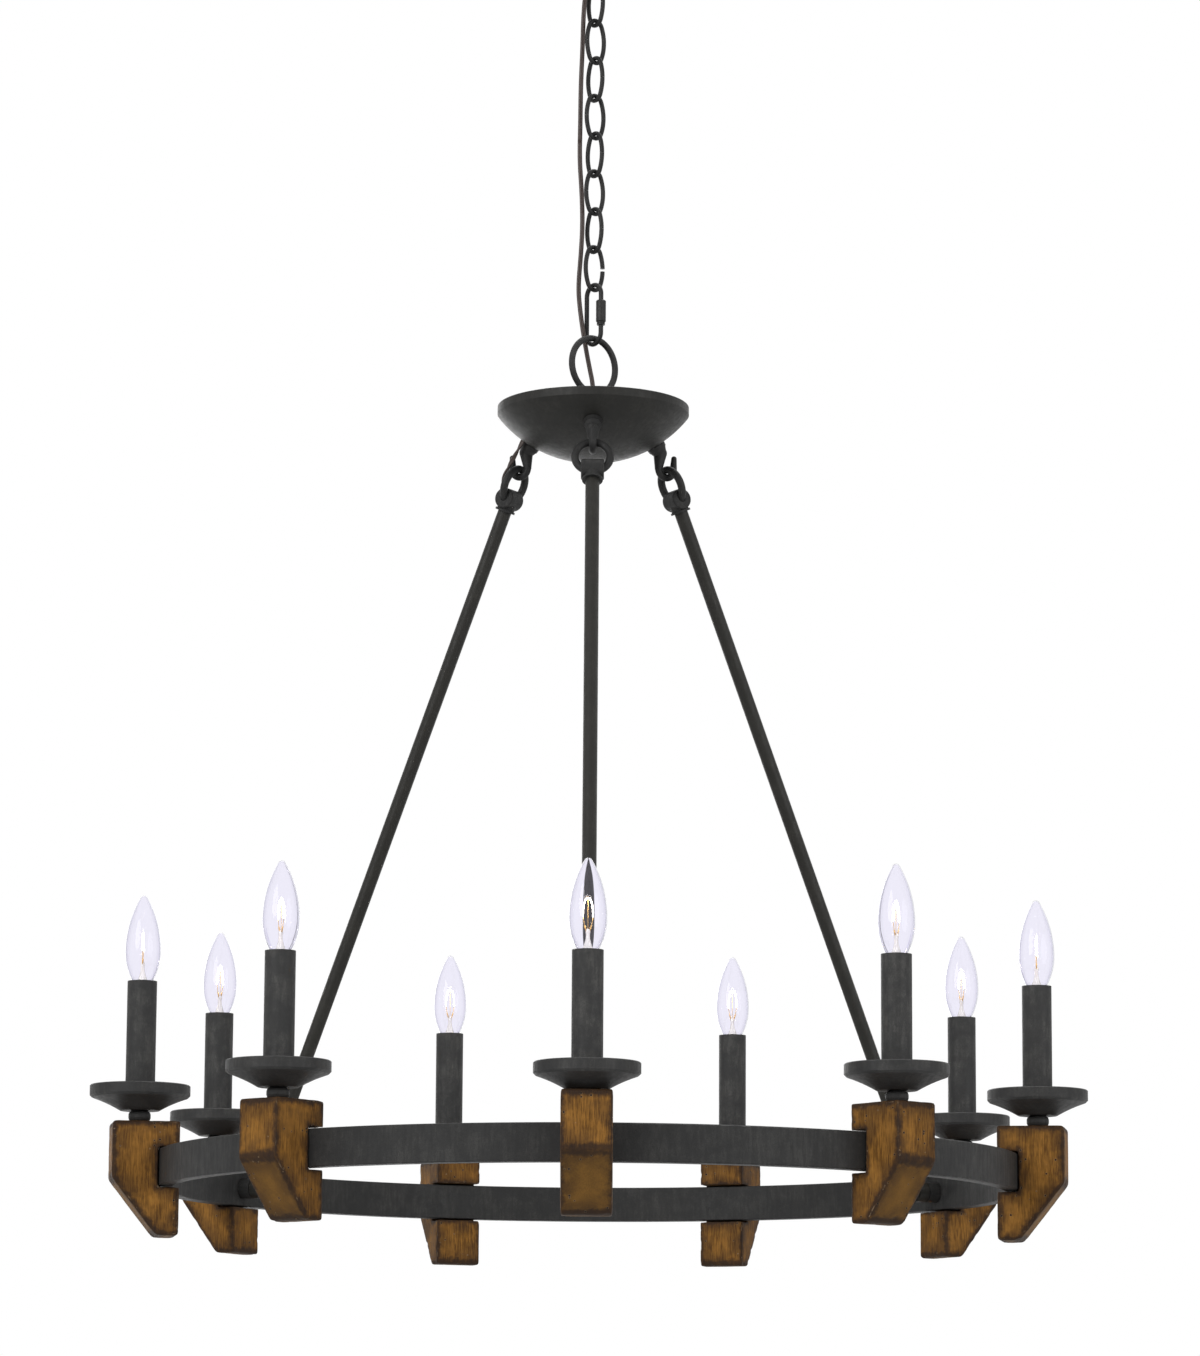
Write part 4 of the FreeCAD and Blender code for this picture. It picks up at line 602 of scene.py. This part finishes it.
class CHANDELIER_OT_stage(LightStep):
    """Sets up the camera, the soft lamps, the white surround and the floor."""

    bl_idname = "chandelier.stage"
    bl_label = "Stage"

    def execute(self, context):
        studio = context.scene.light_studio
        context.scene.view_settings.view_transform = "Standard"
        self.camera(context, studio)
        self.world(context, studio)
        self.floor(context, studio)
        for name, place, width, setting, share in LAMPS:
            self.lamp(context, name, Vector(place), width, getattr(studio, setting) * share)
        return {"FINISHED"}

    def camera(self, context, studio):
        """The camera where the photograph was taken from."""
        turn, pitch, roll = studio.camera_turn, studio.camera_pitch, studio.camera_roll
        ahead = Vector((-math.sin(turn), math.cos(turn), 0))
        line = ahead * math.cos(pitch) + Vector((0, 0, 1)) * math.sin(pitch)
        right = ahead.cross(Vector((0, 0, 1)))
        up = right.cross(line)
        side = right * math.cos(roll) + up * math.sin(roll)
        head = up * math.cos(roll) - right * math.sin(roll)
        data = bpy.data.cameras.new("photo_camera")
        data.lens = studio.lens
        data.sensor_width = SENSOR_WIDTH
        data.clip_start = CLIP_NEAR
        data.clip_end = CLIP_FAR
        camera = bpy.data.objects.new("photo_camera", data)
        turned = Matrix((side, head, -line)).transposed().to_4x4()
        place = (studio.camera_side, -studio.camera_distance, studio.camera_height)
        camera.matrix_world = Matrix.Translation(place) @ turned
        context.scene.collection.objects.link(camera)
        context.scene.camera = camera

    def seen(self, tree):
        """1 where the surface is seen, mirrored or looked at through glass, 0 where it only gives light."""
        paths = put(tree, "LightPath").outputs
        return math_node(tree, "MAXIMUM", paths["Is Camera Ray"],
                         math_node(tree, "MAXIMUM", paths["Is Glossy Ray"], paths["Is Transmission Ray"]))

    def world(self, context, studio):
        """A white surround that lights the object more weakly than it is seen."""
        world = bpy.data.worlds.new("pale_room")
        context.scene.world = world
        world.use_nodes = True
        tree = world.node_tree
        tree.nodes.clear()
        strength = put(tree, "MapRange", {"Value": self.seen(tree), "To Min": studio.surround,
                                          "To Max": 1.0})
        light = put(tree, "Background", {"Color": (1, 1, 1, 1), "Strength": strength.outputs["Result"]})
        output = put(tree, "OutputWorld")
        tree.links.new(light.outputs["Background"], output.inputs["Surface"])

    def floor(self, context, studio):
        """A round pale floor far below, which keeps the object's shadow."""
        paint, tree, shader = new_finish("pale_floor")
        shade = cloud(tree, stretched(tree, (1, 1, 1)), scale=0.6, detail=2)
        tree.links.new(blend_colours(tree, shade, *FLOOR_GREYS), shader.inputs["Base Color"])
        shader.inputs["Roughness"].default_value = 0.9
        shader.inputs["Emission Color"].default_value = (1, 1, 1, 1)
        lift = times(tree, self.seen(tree), studio.floor_lift)
        tree.links.new(lift, shader.inputs["Emission Strength"])
        depth = studio.floor_depth
        verts = [(0, 0, depth)] + [(x, y, depth) for x, y in round_section(FLOOR_RADIUS, FLOOR_SIDES)]
        faces = [(0, 1 + k, 1 + (k + 1) % FLOOR_SIDES) for k in range(FLOOR_SIDES)]
        mesh = bpy.data.meshes.new("floor")
        mesh.from_pydata(verts, [], faces)
        mesh.materials.append(paint)
        ground = bpy.data.objects.new("floor", mesh)
        context.scene.collection.objects.link(ground)

    def lamp(self, context, name, place, width, power):
        """A round lamp that lights the object and isn't itself seen, nor through the bulbs."""
        data = bpy.data.lights.new(name, "AREA")
        data.shape = "DISK"
        data.size = width
        data.energy = power
        lamp = bpy.data.objects.new(name, data)
        lamp.location = place
        lamp.rotation_euler = (LAMPS_AIM - place).to_track_quat("-Z", "Y").to_euler()
        lamp.visible_camera = False
        lamp.visible_transmission = False
        context.scene.collection.objects.link(lamp)


# ---- cords

# Routes in metres: the supply cord's in the frame, the lead's before it is turned to its rod.
UPPER_ROUTE = [(0, 0, -0.038), (-0.0003, 0.0002, -0.046), (-0.005, 0.0015, -0.0545),
               (-0.0084, 0.0015, -0.063), (-0.0104, 0.0011, -0.074), (-0.0116, 0.001, -0.0931),
               (-0.0121, 0.0013, -0.1221), (-0.0135, 0.0009, -0.1563), (-0.0137, 0.0012, -0.1948),
               (-0.014, 0.0011, -0.2118)]
LOWER_ROUTE = [(-0.014, 0.0011, -0.2118), (-0.0143, 0.001, -0.2288), (-0.0118, 0.0013, -0.2628),
               (-0.011, 0.0017, -0.2935), (-0.0125, 0.0013, -0.3221), (-0.0147, 0.002, -0.3506),
               (-0.0132, 0.0033, -0.3706), (-0.0092, 0.0026, -0.399), (-0.004, 0.0011, -0.4273),
               (0, 0, -0.4462), (0.0001, 0, -0.4625)]
LEAD_ROUTE = [(0.0642, 0.0138, -0.4885), (0.0688, 0.0137, -0.4952), (0.0754, 0.0125, -0.5042),
              (0.0835, 0.0098, -0.5127), (0.0912, 0.0057, -0.5206), (0.0962, 0.002, -0.5295),
              (0.0955, 0.0001, -0.5387)]
# The supply cord's halves: which, its route, its two bodies, and where it passes from one to the other.
CORD_HALVES = (
    ("upper", UPPER_ROUTE, ("ceiling_fitting", "chain"), ((0, 0, -0.046), (0, 0, -0.082))),
    ("lower", LOWER_ROUTE, ("chain", "hub"), ((0, 0, -0.378), (0, 0, -0.436))),
)
CORD_FLATNESS, LEAD_FLATNESS = 0.72, 0.56
LEAD_AZIMUTH, LEAD_TWIST = -120, math.radians(540)
ROUTE_RESOLUTION = 10
LOBE_REACH, LOBE_STEP = 120, 24  # degrees of a wire's round outline


def route_line(points):
    """The smooth line of a route: a spline whose control points are the route's."""
    curve = bpy.data.curves.new("route", "CURVE")
    curve.dimensions = "3D"
    curve.resolution_u = ROUTE_RESOLUTION
    spline = curve.splines.new("NURBS")
    spline.points.add(len(points) - 1)
    for point, place in zip(spline.points, points):
        point.co = (*place, 1.0)
    spline.order_u = 3
    spline.use_endpoint_u = True
    guide = bpy.data.objects.new("route", curve)
    bpy.context.scene.collection.objects.link(guide)
    bpy.context.view_layer.update()
    line = bpy.data.meshes.new_from_object(guide)
    found = [vertex.co.copy() for vertex in line.vertices]
    bpy.data.meshes.remove(line)
    bpy.data.objects.remove(guide)
    bpy.data.curves.remove(curve)
    return found


def flat_pair_section(width, thickness):
    """Two insulated wires side by side, with a shallow groove between them."""
    lobe = thickness / 2
    reach = width / 2 - lobe
    angles = [math.radians(degrees) for degrees in range(-LOBE_REACH, LOBE_REACH + 1, LOBE_STEP)]
    right = [(reach + lobe * math.cos(angle), lobe * math.sin(angle)) for angle in angles]
    return right + [(-u, -v) for u, v in right]


class CHANDELIER_OT_supply_cord(LightStep):
    """The flat supply cord beside the chain, from the canopy's loop to the hub loop's foot."""

    bl_idname = "chandelier.supply_cord"
    bl_label = "Supply cord"

    def execute(self, context):
        width = context.scene.light_sizes.cord_width
        section = flat_pair_section(width, width * CORD_FLATNESS)
        for half, route, bodies, bend in CORD_HALVES:
            line = route_line(route)
            verts, faces = sweep(line, section, start_side=(1, 0, 0))
            cord = new_piece("cord_" + half, verts, faces, FINISHES["cord_cover"])
            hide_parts("supply_cord_" + half)
            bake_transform(cord)
        return {"FINISHED"}


class CHANDELIER_OT_rod_lead(LightStep):
    """The short lead of two twisted wires from the bowl to the left rod."""

    bl_idname = "chandelier.rod_lead"
    bl_label = "Rod lead"

    def execute(self, context):
        width = context.scene.light_sizes.cord_width
        route = [turned_to(LEAD_AZIMUTH) @ Vector(point) for point in LEAD_ROUTE]
        line = route_line(route)
        section = flat_pair_section(width, width * LEAD_FLATNESS)
        verts, faces = sweep(line, section, LEAD_TWIST)
        lead = new_piece("rod_lead", verts, faces, FINISHES["cord_cover"])
        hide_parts("left_rod_lead")
        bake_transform(lead)
        return {"FINISHED"}


# ---- ironwork


class CHANDELIER_OT_ceiling_fitting(LightStep):
    """The canopy with its loop and collar, and the crossbar inside it."""

    bl_idname = "chandelier.ceiling_fitting"
    bl_label = "Ceiling fitting"

    def execute(self, context):
        coat("black_metal", "canopy", "canopy_loop", "canopy_collar")
        coat("steel", "ceiling_crossbar", "crossbar_nipple", "crossbar_nut")
        coat("connector_plastic", "canopy_connectors")
        return {"FINISHED"}


class CHANDELIER_OT_chain(LightStep):
    """The chain, the quick link and its sleeve nut."""

    bl_idname = "chandelier.chain"
    bl_label = "Chain"

    def execute(self, context):
        coat("chain_paint", "chain_links", "quick_link", "quick_link_nut")
        return {"FINISHED"}


class CHANDELIER_OT_hub(LightStep):
    """The wire loop, the cover and the bowl."""

    bl_idname = "chandelier.hub"
    bl_label = "Hub"

    def execute(self, context):
        coat("black_metal", "hub_loop", "hub_cover", "hub_cover_screws")
        coat("bowl_paint", "hub_bowl")
        coat("steel", "hub_nuts")
        coat("connector_plastic", "hub_connectors")
        return {"FINISHED"}


class CHANDELIER_OT_arms(LightStep):
    """The hooks, ring links, eye barrels and rods."""

    bl_idname = "chandelier.arms"
    bl_label = "Hooks, rings and rods"

    def execute(self, context):
        for side in ("front", "left", "right"):
            coat("black_iron", "hook_" + side, "ring_link_" + side, "rod_eye_" + side)
            coat("rod_paint", "rod_" + side)
        return {"FINISHED"}


class CHANDELIER_OT_band(LightStep):
    """The iron band with its bosses, bolts and hidden wires."""

    bl_idname = "chandelier.band"
    bl_label = "Band"

    def execute(self, context):
        coat("band_paint", "band", "band_bosses")
        coat("black_metal", "pivot_bolts", "block_screws")
        coat("cord_cover", "band_wiring")
        return {"FINISHED"}


# ---- wooden blocks

# Lengths are in metres and angles in radians.
WELD = 1e-5
QUICK_VOXEL, FINE_VOXEL = 0.0028, 0.0010
SMOOTH_FACTOR, SMOOTH_ROUNDS = 0.5, 2
SIDE_SLACK = 0.0002     # how far from the block's side an edge may lie, and still be the side's
ACROSS_LEAST = 0.030    # a longer edge runs across the block
BEND_LEAST = 0.04       # the least bend of an edge that runs across, as on a rounded corner
SHARP_LEAST = 0.35      # the least bend of a sharp edge
EDGE_STEP = 0.001       # between the points along an edge
WEAR_REACH = 0.005
EDGE_LOSS, CHIP_DEPTH, WAVE_DEPTH = 0.0003, 0.0020, 0.00012
CHIP_SCALE, CHIP_LEAST, WAVE_SCALE = 150, 0.16, 60
SEED_STEPS = (5.3, 2.9, 4.1)  # how far the noise moves from one block to the next


class CHANDELIER_OT_blocks(LightStep):
    """The nine notched blocks: worn edges, dents, and how far each point is from an edge."""

    bl_idname = "chandelier.blocks"
    bl_label = "Wooden blocks"

    def execute(self, context):
        half = context.scene.light_sizes.block_width / 2
        for place, azimuth in enumerate(candle_azimuths()):
            self.block(context, place, azimuth, half)
        return {"FINISHED"}

    def block(self, context, place, azimuth, half):
        """A finer, worn copy of a CAD block, in its place."""
        node = NODES["block_%d" % (place + 1)]
        upright = turned_to(azimuth).inverted()
        mesh = node.data.copy()
        mesh.name = "wood_block_%d" % (place + 1)
        piece = bpy.data.objects.new(mesh.name, mesh)
        context.scene.collection.objects.link(piece)
        while len(mesh.materials):
            mesh.materials.pop()
        form = bmesh.new()
        form.from_mesh(mesh)
        bmesh.ops.remove_doubles(form, verts=form.verts, dist=WELD)
        edges = self.edge_lines(form, upright, half)
        form.to_mesh(mesh)
        form.free()
        remesh = piece.modifiers.new("even", "REMESH")
        remesh.mode = "VOXEL"
        remesh.voxel_size = FINE_VOXEL
        soften = piece.modifiers.new("soften", "SMOOTH")
        soften.factor = SMOOTH_FACTOR
        soften.iterations = SMOOTH_ROUNDS
        context.view_layer.update()
        evened = piece.evaluated_get(context.evaluated_depsgraph_get())
        even = bpy.data.meshes.new_from_object(evened)
        piece.modifiers.clear()
        piece.data = even
        even.name = piece.name
        bpy.data.meshes.remove(mesh)
        self.wear(even, edges, place)
        even.materials.clear()
        even.materials.append(FINISHES["wood"])
        even.shade_smooth()
        dress(piece, "wheel", "wood", node.name)

    def edge_lines(self, form, upright, half):
        """Points along the block's outer edges, for nearest searches: all of them, rounded corners
        among them, and then the sharp ones alone."""
        points, sharp = [], []
        for edge in form.edges:
            if len(edge.link_faces) != 2:
                continue
            ends = [upright @ vertex.co for vertex in edge.verts]
            on_side = all(abs(abs(end.y) - half) < SIDE_SLACK for end in ends)
            across = abs(ends[0].y - ends[1].y) > ACROSS_LEAST
            angle = edge.calc_face_angle(0.0)
            if angle < (BEND_LEAST if across else SHARP_LEAST) or not (on_side or across):
                continue
            first, last = edge.verts[0].co, edge.verts[1].co
            steps = max(1, int(edge.calc_length() / EDGE_STEP))
            line = [first.lerp(last, k / steps) for k in range(steps + 1)]
            points += line
            if angle > SHARP_LEAST:
                sharp += line
        if not sharp:
            raise StepError("a block has no outer edges")
        return self.search_tree(points), self.search_tree(sharp)

    def search_tree(self, points):
        """Finds the nearest of the points."""
        tree = KDTree(len(points))
        for index, point in enumerate(points):
            tree.insert(point, index)
        tree.balance()
        return tree

    def wear(self, mesh, edges, seed):
        """Chips the edges, makes the faces uneven, and keeps each point's distances to the edges."""
        every, sharp = edges
        shift = Vector([seed * step for step in SEED_STEPS])
        # Places and normals are read before any place changes, since a change makes all normals anew.
        places = [vertex.co.copy() for vertex in mesh.vertices]
        normals = [vertex.normal.copy() for vertex in mesh.vertices]
        distances = [every.find(place)[2] for place in places]
        worn = []
        for place, normal, distance in zip(places, normals, distances):
            near = max(0.0, 1.0 - distance / WEAR_REACH)
            chip = max(0.0, noise.noise(place * CHIP_SCALE + shift) - CHIP_LEAST)
            wave = noise.noise(place * WAVE_SCALE + shift)
            loss = near * chip * CHIP_DEPTH + near * EDGE_LOSS + wave * WAVE_DEPTH
            worn += list(place - normal * loss)
        mesh.vertices.foreach_set("co", worn)
        for name, values in (("rim", distances), ("edge", [sharp.find(place)[2] for place in places])):
            attribute = mesh.attributes.new(name, "FLOAT", "POINT")
            attribute.data.foreach_set("value", values)
        mesh.update()


# ---- candles

# Lengths in metres. Heights are above the sleeve's top, except that COIL_FOOT and SUPPORT_RISE are
# from the filament's height.
GLASS_FOOT = -0.0065
NECK_SHARES = 0.80, 0.88            # of the throat, at the glass's foot and half way up to it
GLASS_SEGMENTS, STEM_SEGMENTS, CAP_SEGMENTS = 72, 24, 40
FOOT_STEPS, BODY_STEPS, TIP_STEPS = 14, 30, 8
FIRST_TURN, TURN_STEP = 12.0, 37.0  # degrees by which the mounts are turned
STEM = ((0.0, -0.005), (0.0050, -0.005), (0.0046, 0.000), (0.0030, 0.005), (0.0019, 0.009),
        (0.0016, 0.0130), (0.0022, 0.0150), (0.0013, 0.0172), (0.0, 0.0178))
LEAD_WIRE, LEAD_WIRE_RADIUS = ((0.0010, 0.006), (0.0012, 0.0150), (0.0026, 0.0190)), 0.00026
WIRE_SLEEVE, WIRE_SLEEVE_RADIUS = ((0.0011, 0.0145), (0.0021, 0.0178), (0.0030, 0.0205)), 0.00060
SUPPORT, SUPPORT_RADIUS = ((0, 0.016), (0.0004, 0.022)), 0.0002
SUPPORT_LEAN, SUPPORT_RISE = 0.0002, 0.0105
WIRE_SIDES, SLEEVE_SIDES, COIL_SIDES = 8, 10, 6
COIL_SPREAD, COIL_FOOT, COIL_RISE, COIL_ARCH = 0.0042, -0.006, 0.0165, 0.8
COIL_TURNS, STEPS_A_TURN, COIL_RADIUS, COIL_WIRE_RADIUS = 26, 9, 0.00055, 0.00026
CAP_FOOT = ((0.0, -0.0225), (0.0020, -0.0225), (0.0026, -0.0212), (0.0050, -0.0200), (0.0054, -0.0195))
CAP_TOP = ((0.00590, -0.0080), (0.0, -0.0080))
THREAD_START, THREAD_END, THREAD_PITCH, THREAD_FALL = -0.0190, -0.0085, 0.0020, 0.0011
THREAD_CREST, THREAD_ROOT = 0.00585, 0.00545


class CHANDELIER_OT_candles(LightStep):
    """The neck beads, drip pans and sleeves, and what they hide."""

    bl_idname = "chandelier.candles"
    bl_label = "Beads, pans and sleeves"

    def execute(self, context):
        coat("black_metal", "neck_beads")
        coat("pan_paint", "drip_pans")
        coat("sleeve_paint", "candle_sleeves")
        coat("steel", "pan_nuts", "candle_tubes")
        coat("socket_plastic", "lamp_sockets")
        return {"FINISHED"}


class CHANDELIER_OT_bulbs(LightStep):
    """The nine clear flame bulbs, each with its cap, stem, lead wires and lit filament."""

    bl_idname = "chandelier.bulbs"
    bl_label = "Bulbs"

    def execute(self, context):
        sizes = context.scene.light_sizes
        for place in range(BLOCK_COUNT):
            top = candle_place(place)
            self.glass(sizes, place, top)
            self.mount(sizes, place, top)
        return {"FINISHED"}

    def side(self, sizes, inset):
        """Half of the bulb's outline, from its throat to its tip, moved in by inset."""
        widest, at = sizes.bulb_radius, sizes.bulb_widest_at
        tip, height = sizes.bulb_tip, sizes.bulb_height
        throat = sizes.bulb_throat
        low = (at * at + (widest - throat) ** 2) / (2 * (widest - throat))
        rise = height - tip - at
        high = (widest * widest + rise * rise - tip * tip) / (2 * (widest - tip))
        start = -math.asin(at / low)
        foot = arc_points((widest - low, at), low - inset, start, 0.0, FOOT_STEPS)
        lean = math.atan2(rise, high - widest)
        body = arc_points((widest - high, at), high - inset, 0.0, lean, BODY_STEPS)[1:]
        point = arc_points((0.0, height - tip), tip - inset, lean, math.pi / 2, TIP_STEPS)[1:]
        return foot + body + point

    def glass(self, sizes, place, top):
        """The bulb's glass, as a wall with two sides."""
        heights = GLASS_FOOT, GLASS_FOOT / 2
        neck = [(sizes.bulb_throat * share, height) for share, height in zip(NECK_SHARES, heights)]
        neck_inside = [(radius - sizes.glass_wall, height) for radius, height in neck]
        outer = neck + self.side(sizes, 0.0)
        inner = neck_inside + self.side(sizes, sizes.glass_wall)
        verts, faces = lathe(outer + inner[::-1], GLASS_SEGMENTS, top)
        piece = new_piece("bulb_shell_%d" % (place + 1), verts, faces, FINISHES["bulb_glass"])
        # Clear glass darkens nothing inside it, so the shell casts no shadow.
        piece.visible_shadow = False
        dress(piece, "bulb_%d" % (place + 1), "bulb_glass", "bulb_%d" % (place + 1))

    def mount(self, sizes, place, top):
        """The bulb's stem, wires, coiled filament and screw cap."""
        turn = Matrix.Rotation(math.radians(TURN_STEP * place + FIRST_TURN), 3, "Z")

        def at(x, y, z):
            return turn @ Vector((x, y, z)) + top

        stem = lathe(STEM, STEM_SEGMENTS, top)
        height = sizes.filament_height
        coil_foot = height + COIL_FOOT
        wires = []
        for hand in (-1, 1):
            lead = [at(hand * x, 0, z) for x, z in LEAD_WIRE + ((COIL_SPREAD, coil_foot),)]
            wires.append(sweep(lead, round_section(LEAD_WIRE_RADIUS, WIRE_SIDES)))
            cover = [at(hand * x, 0, z) for x, z in WIRE_SLEEVE]
            wires.append(sweep(cover, round_section(WIRE_SLEEVE_RADIUS, SLEEVE_SIDES)))
        support = [at(0, y, z) for y, z in SUPPORT + ((SUPPORT_LEAN, height + SUPPORT_RISE),)]
        wires.append(sweep(support, round_section(SUPPORT_RADIUS, WIRE_SIDES)))
        coil = []
        steps = COIL_TURNS * STEPS_A_TURN
        for step in range(steps + 1):
            share = step / steps
            angle = math.pi * (1.0 - share)
            spin = 2 * math.pi * COIL_TURNS * share
            x = COIL_SPREAD * math.cos(angle)
            z = coil_foot + COIL_RISE * math.sin(angle) ** COIL_ARCH
            swing = COIL_RADIUS * math.cos(spin)
            coil.append(at(x + swing * math.sin(angle), COIL_RADIUS * math.sin(spin),
                           z + swing * abs(math.cos(angle))))
        filament = sweep(coil, round_section(COIL_WIRE_RADIUS, COIL_SIDES))
        cap = list(CAP_FOOT)
        ridge = THREAD_START
        while ridge < THREAD_END:
            cap += [(THREAD_CREST, ridge), (THREAD_ROOT, ridge + THREAD_FALL)]
            ridge += THREAD_PITCH
        brass = lathe(cap + list(CAP_TOP), CAP_SEGMENTS, top)
        verts, faces = joined([stem] + wires + [filament, brass])
        piece = new_piece("bulb_mount_%d" % (place + 1), verts, faces, FINISHES["stem_glass"])
        for name in ("copper", "filament", "brass"):
            piece.data.materials.append(FINISHES[name])
        counts = [len(stem[1]), sum(len(wire[1]) for wire in wires), len(filament[1]), len(brass[1])]
        slots = np.repeat(np.arange(len(counts), dtype=np.int32), counts)
        piece.data.polygons.foreach_set("material_index", slots)
        piece.data.update()
        dress(piece, "bulb_%d" % (place + 1), "bulb_glass")


# ---- panel and start

STEPS = ("stage", "supply_cord", "rod_lead", "ceiling_fitting", "chain", "hub", "arms", "band", "blocks",
         "candles", "bulbs")


class CHANDELIER_PT_panel(bpy.types.Panel):
    """Lists the steps, in the order in which they are run."""

    bl_label = "Wagon wheel chandelier"
    bl_idname = "CHANDELIER_PT_panel"
    bl_space_type = "VIEW_3D"
    bl_region_type = "UI"
    bl_category = "Chandelier"

    def draw(self, context):
        for step in STEPS:
            self.layout.operator("chandelier." + step)
        for group in (context.scene.light_sizes, context.scene.light_finishes, context.scene.light_studio):
            for name in group.bl_rna.properties.keys():
                if name not in ("rna_type", "name"):
                    self.layout.prop(group, name)


CLASSES = (LightSizes, LightFinishes, StudioSettings, CHANDELIER_OT_stage, CHANDELIER_OT_supply_cord,
           CHANDELIER_OT_rod_lead, CHANDELIER_OT_ceiling_fitting, CHANDELIER_OT_chain, CHANDELIER_OT_hub,
           CHANDELIER_OT_arms, CHANDELIER_OT_band, CHANDELIER_OT_blocks, CHANDELIER_OT_candles,
           CHANDELIER_OT_bulbs, CHANDELIER_PT_panel)


def register():
    for item in CLASSES:
        bpy.utils.register_class(item)
    bpy.types.Scene.light_sizes = PointerProperty(type=LightSizes)
    bpy.types.Scene.light_finishes = PointerProperty(type=LightFinishes)
    bpy.types.Scene.light_studio = PointerProperty(type=StudioSettings)


def unregister():
    del bpy.types.Scene.light_sizes
    del bpy.types.Scene.light_finishes
    del bpy.types.Scene.light_studio
    for item in reversed(CLASSES):
        bpy.utils.unregister_class(item)


def main():
    register()
    make_finishes()
    for step in STEPS:
        getattr(bpy.ops.chandelier, step)()


if __name__ == "__main__":
    main()
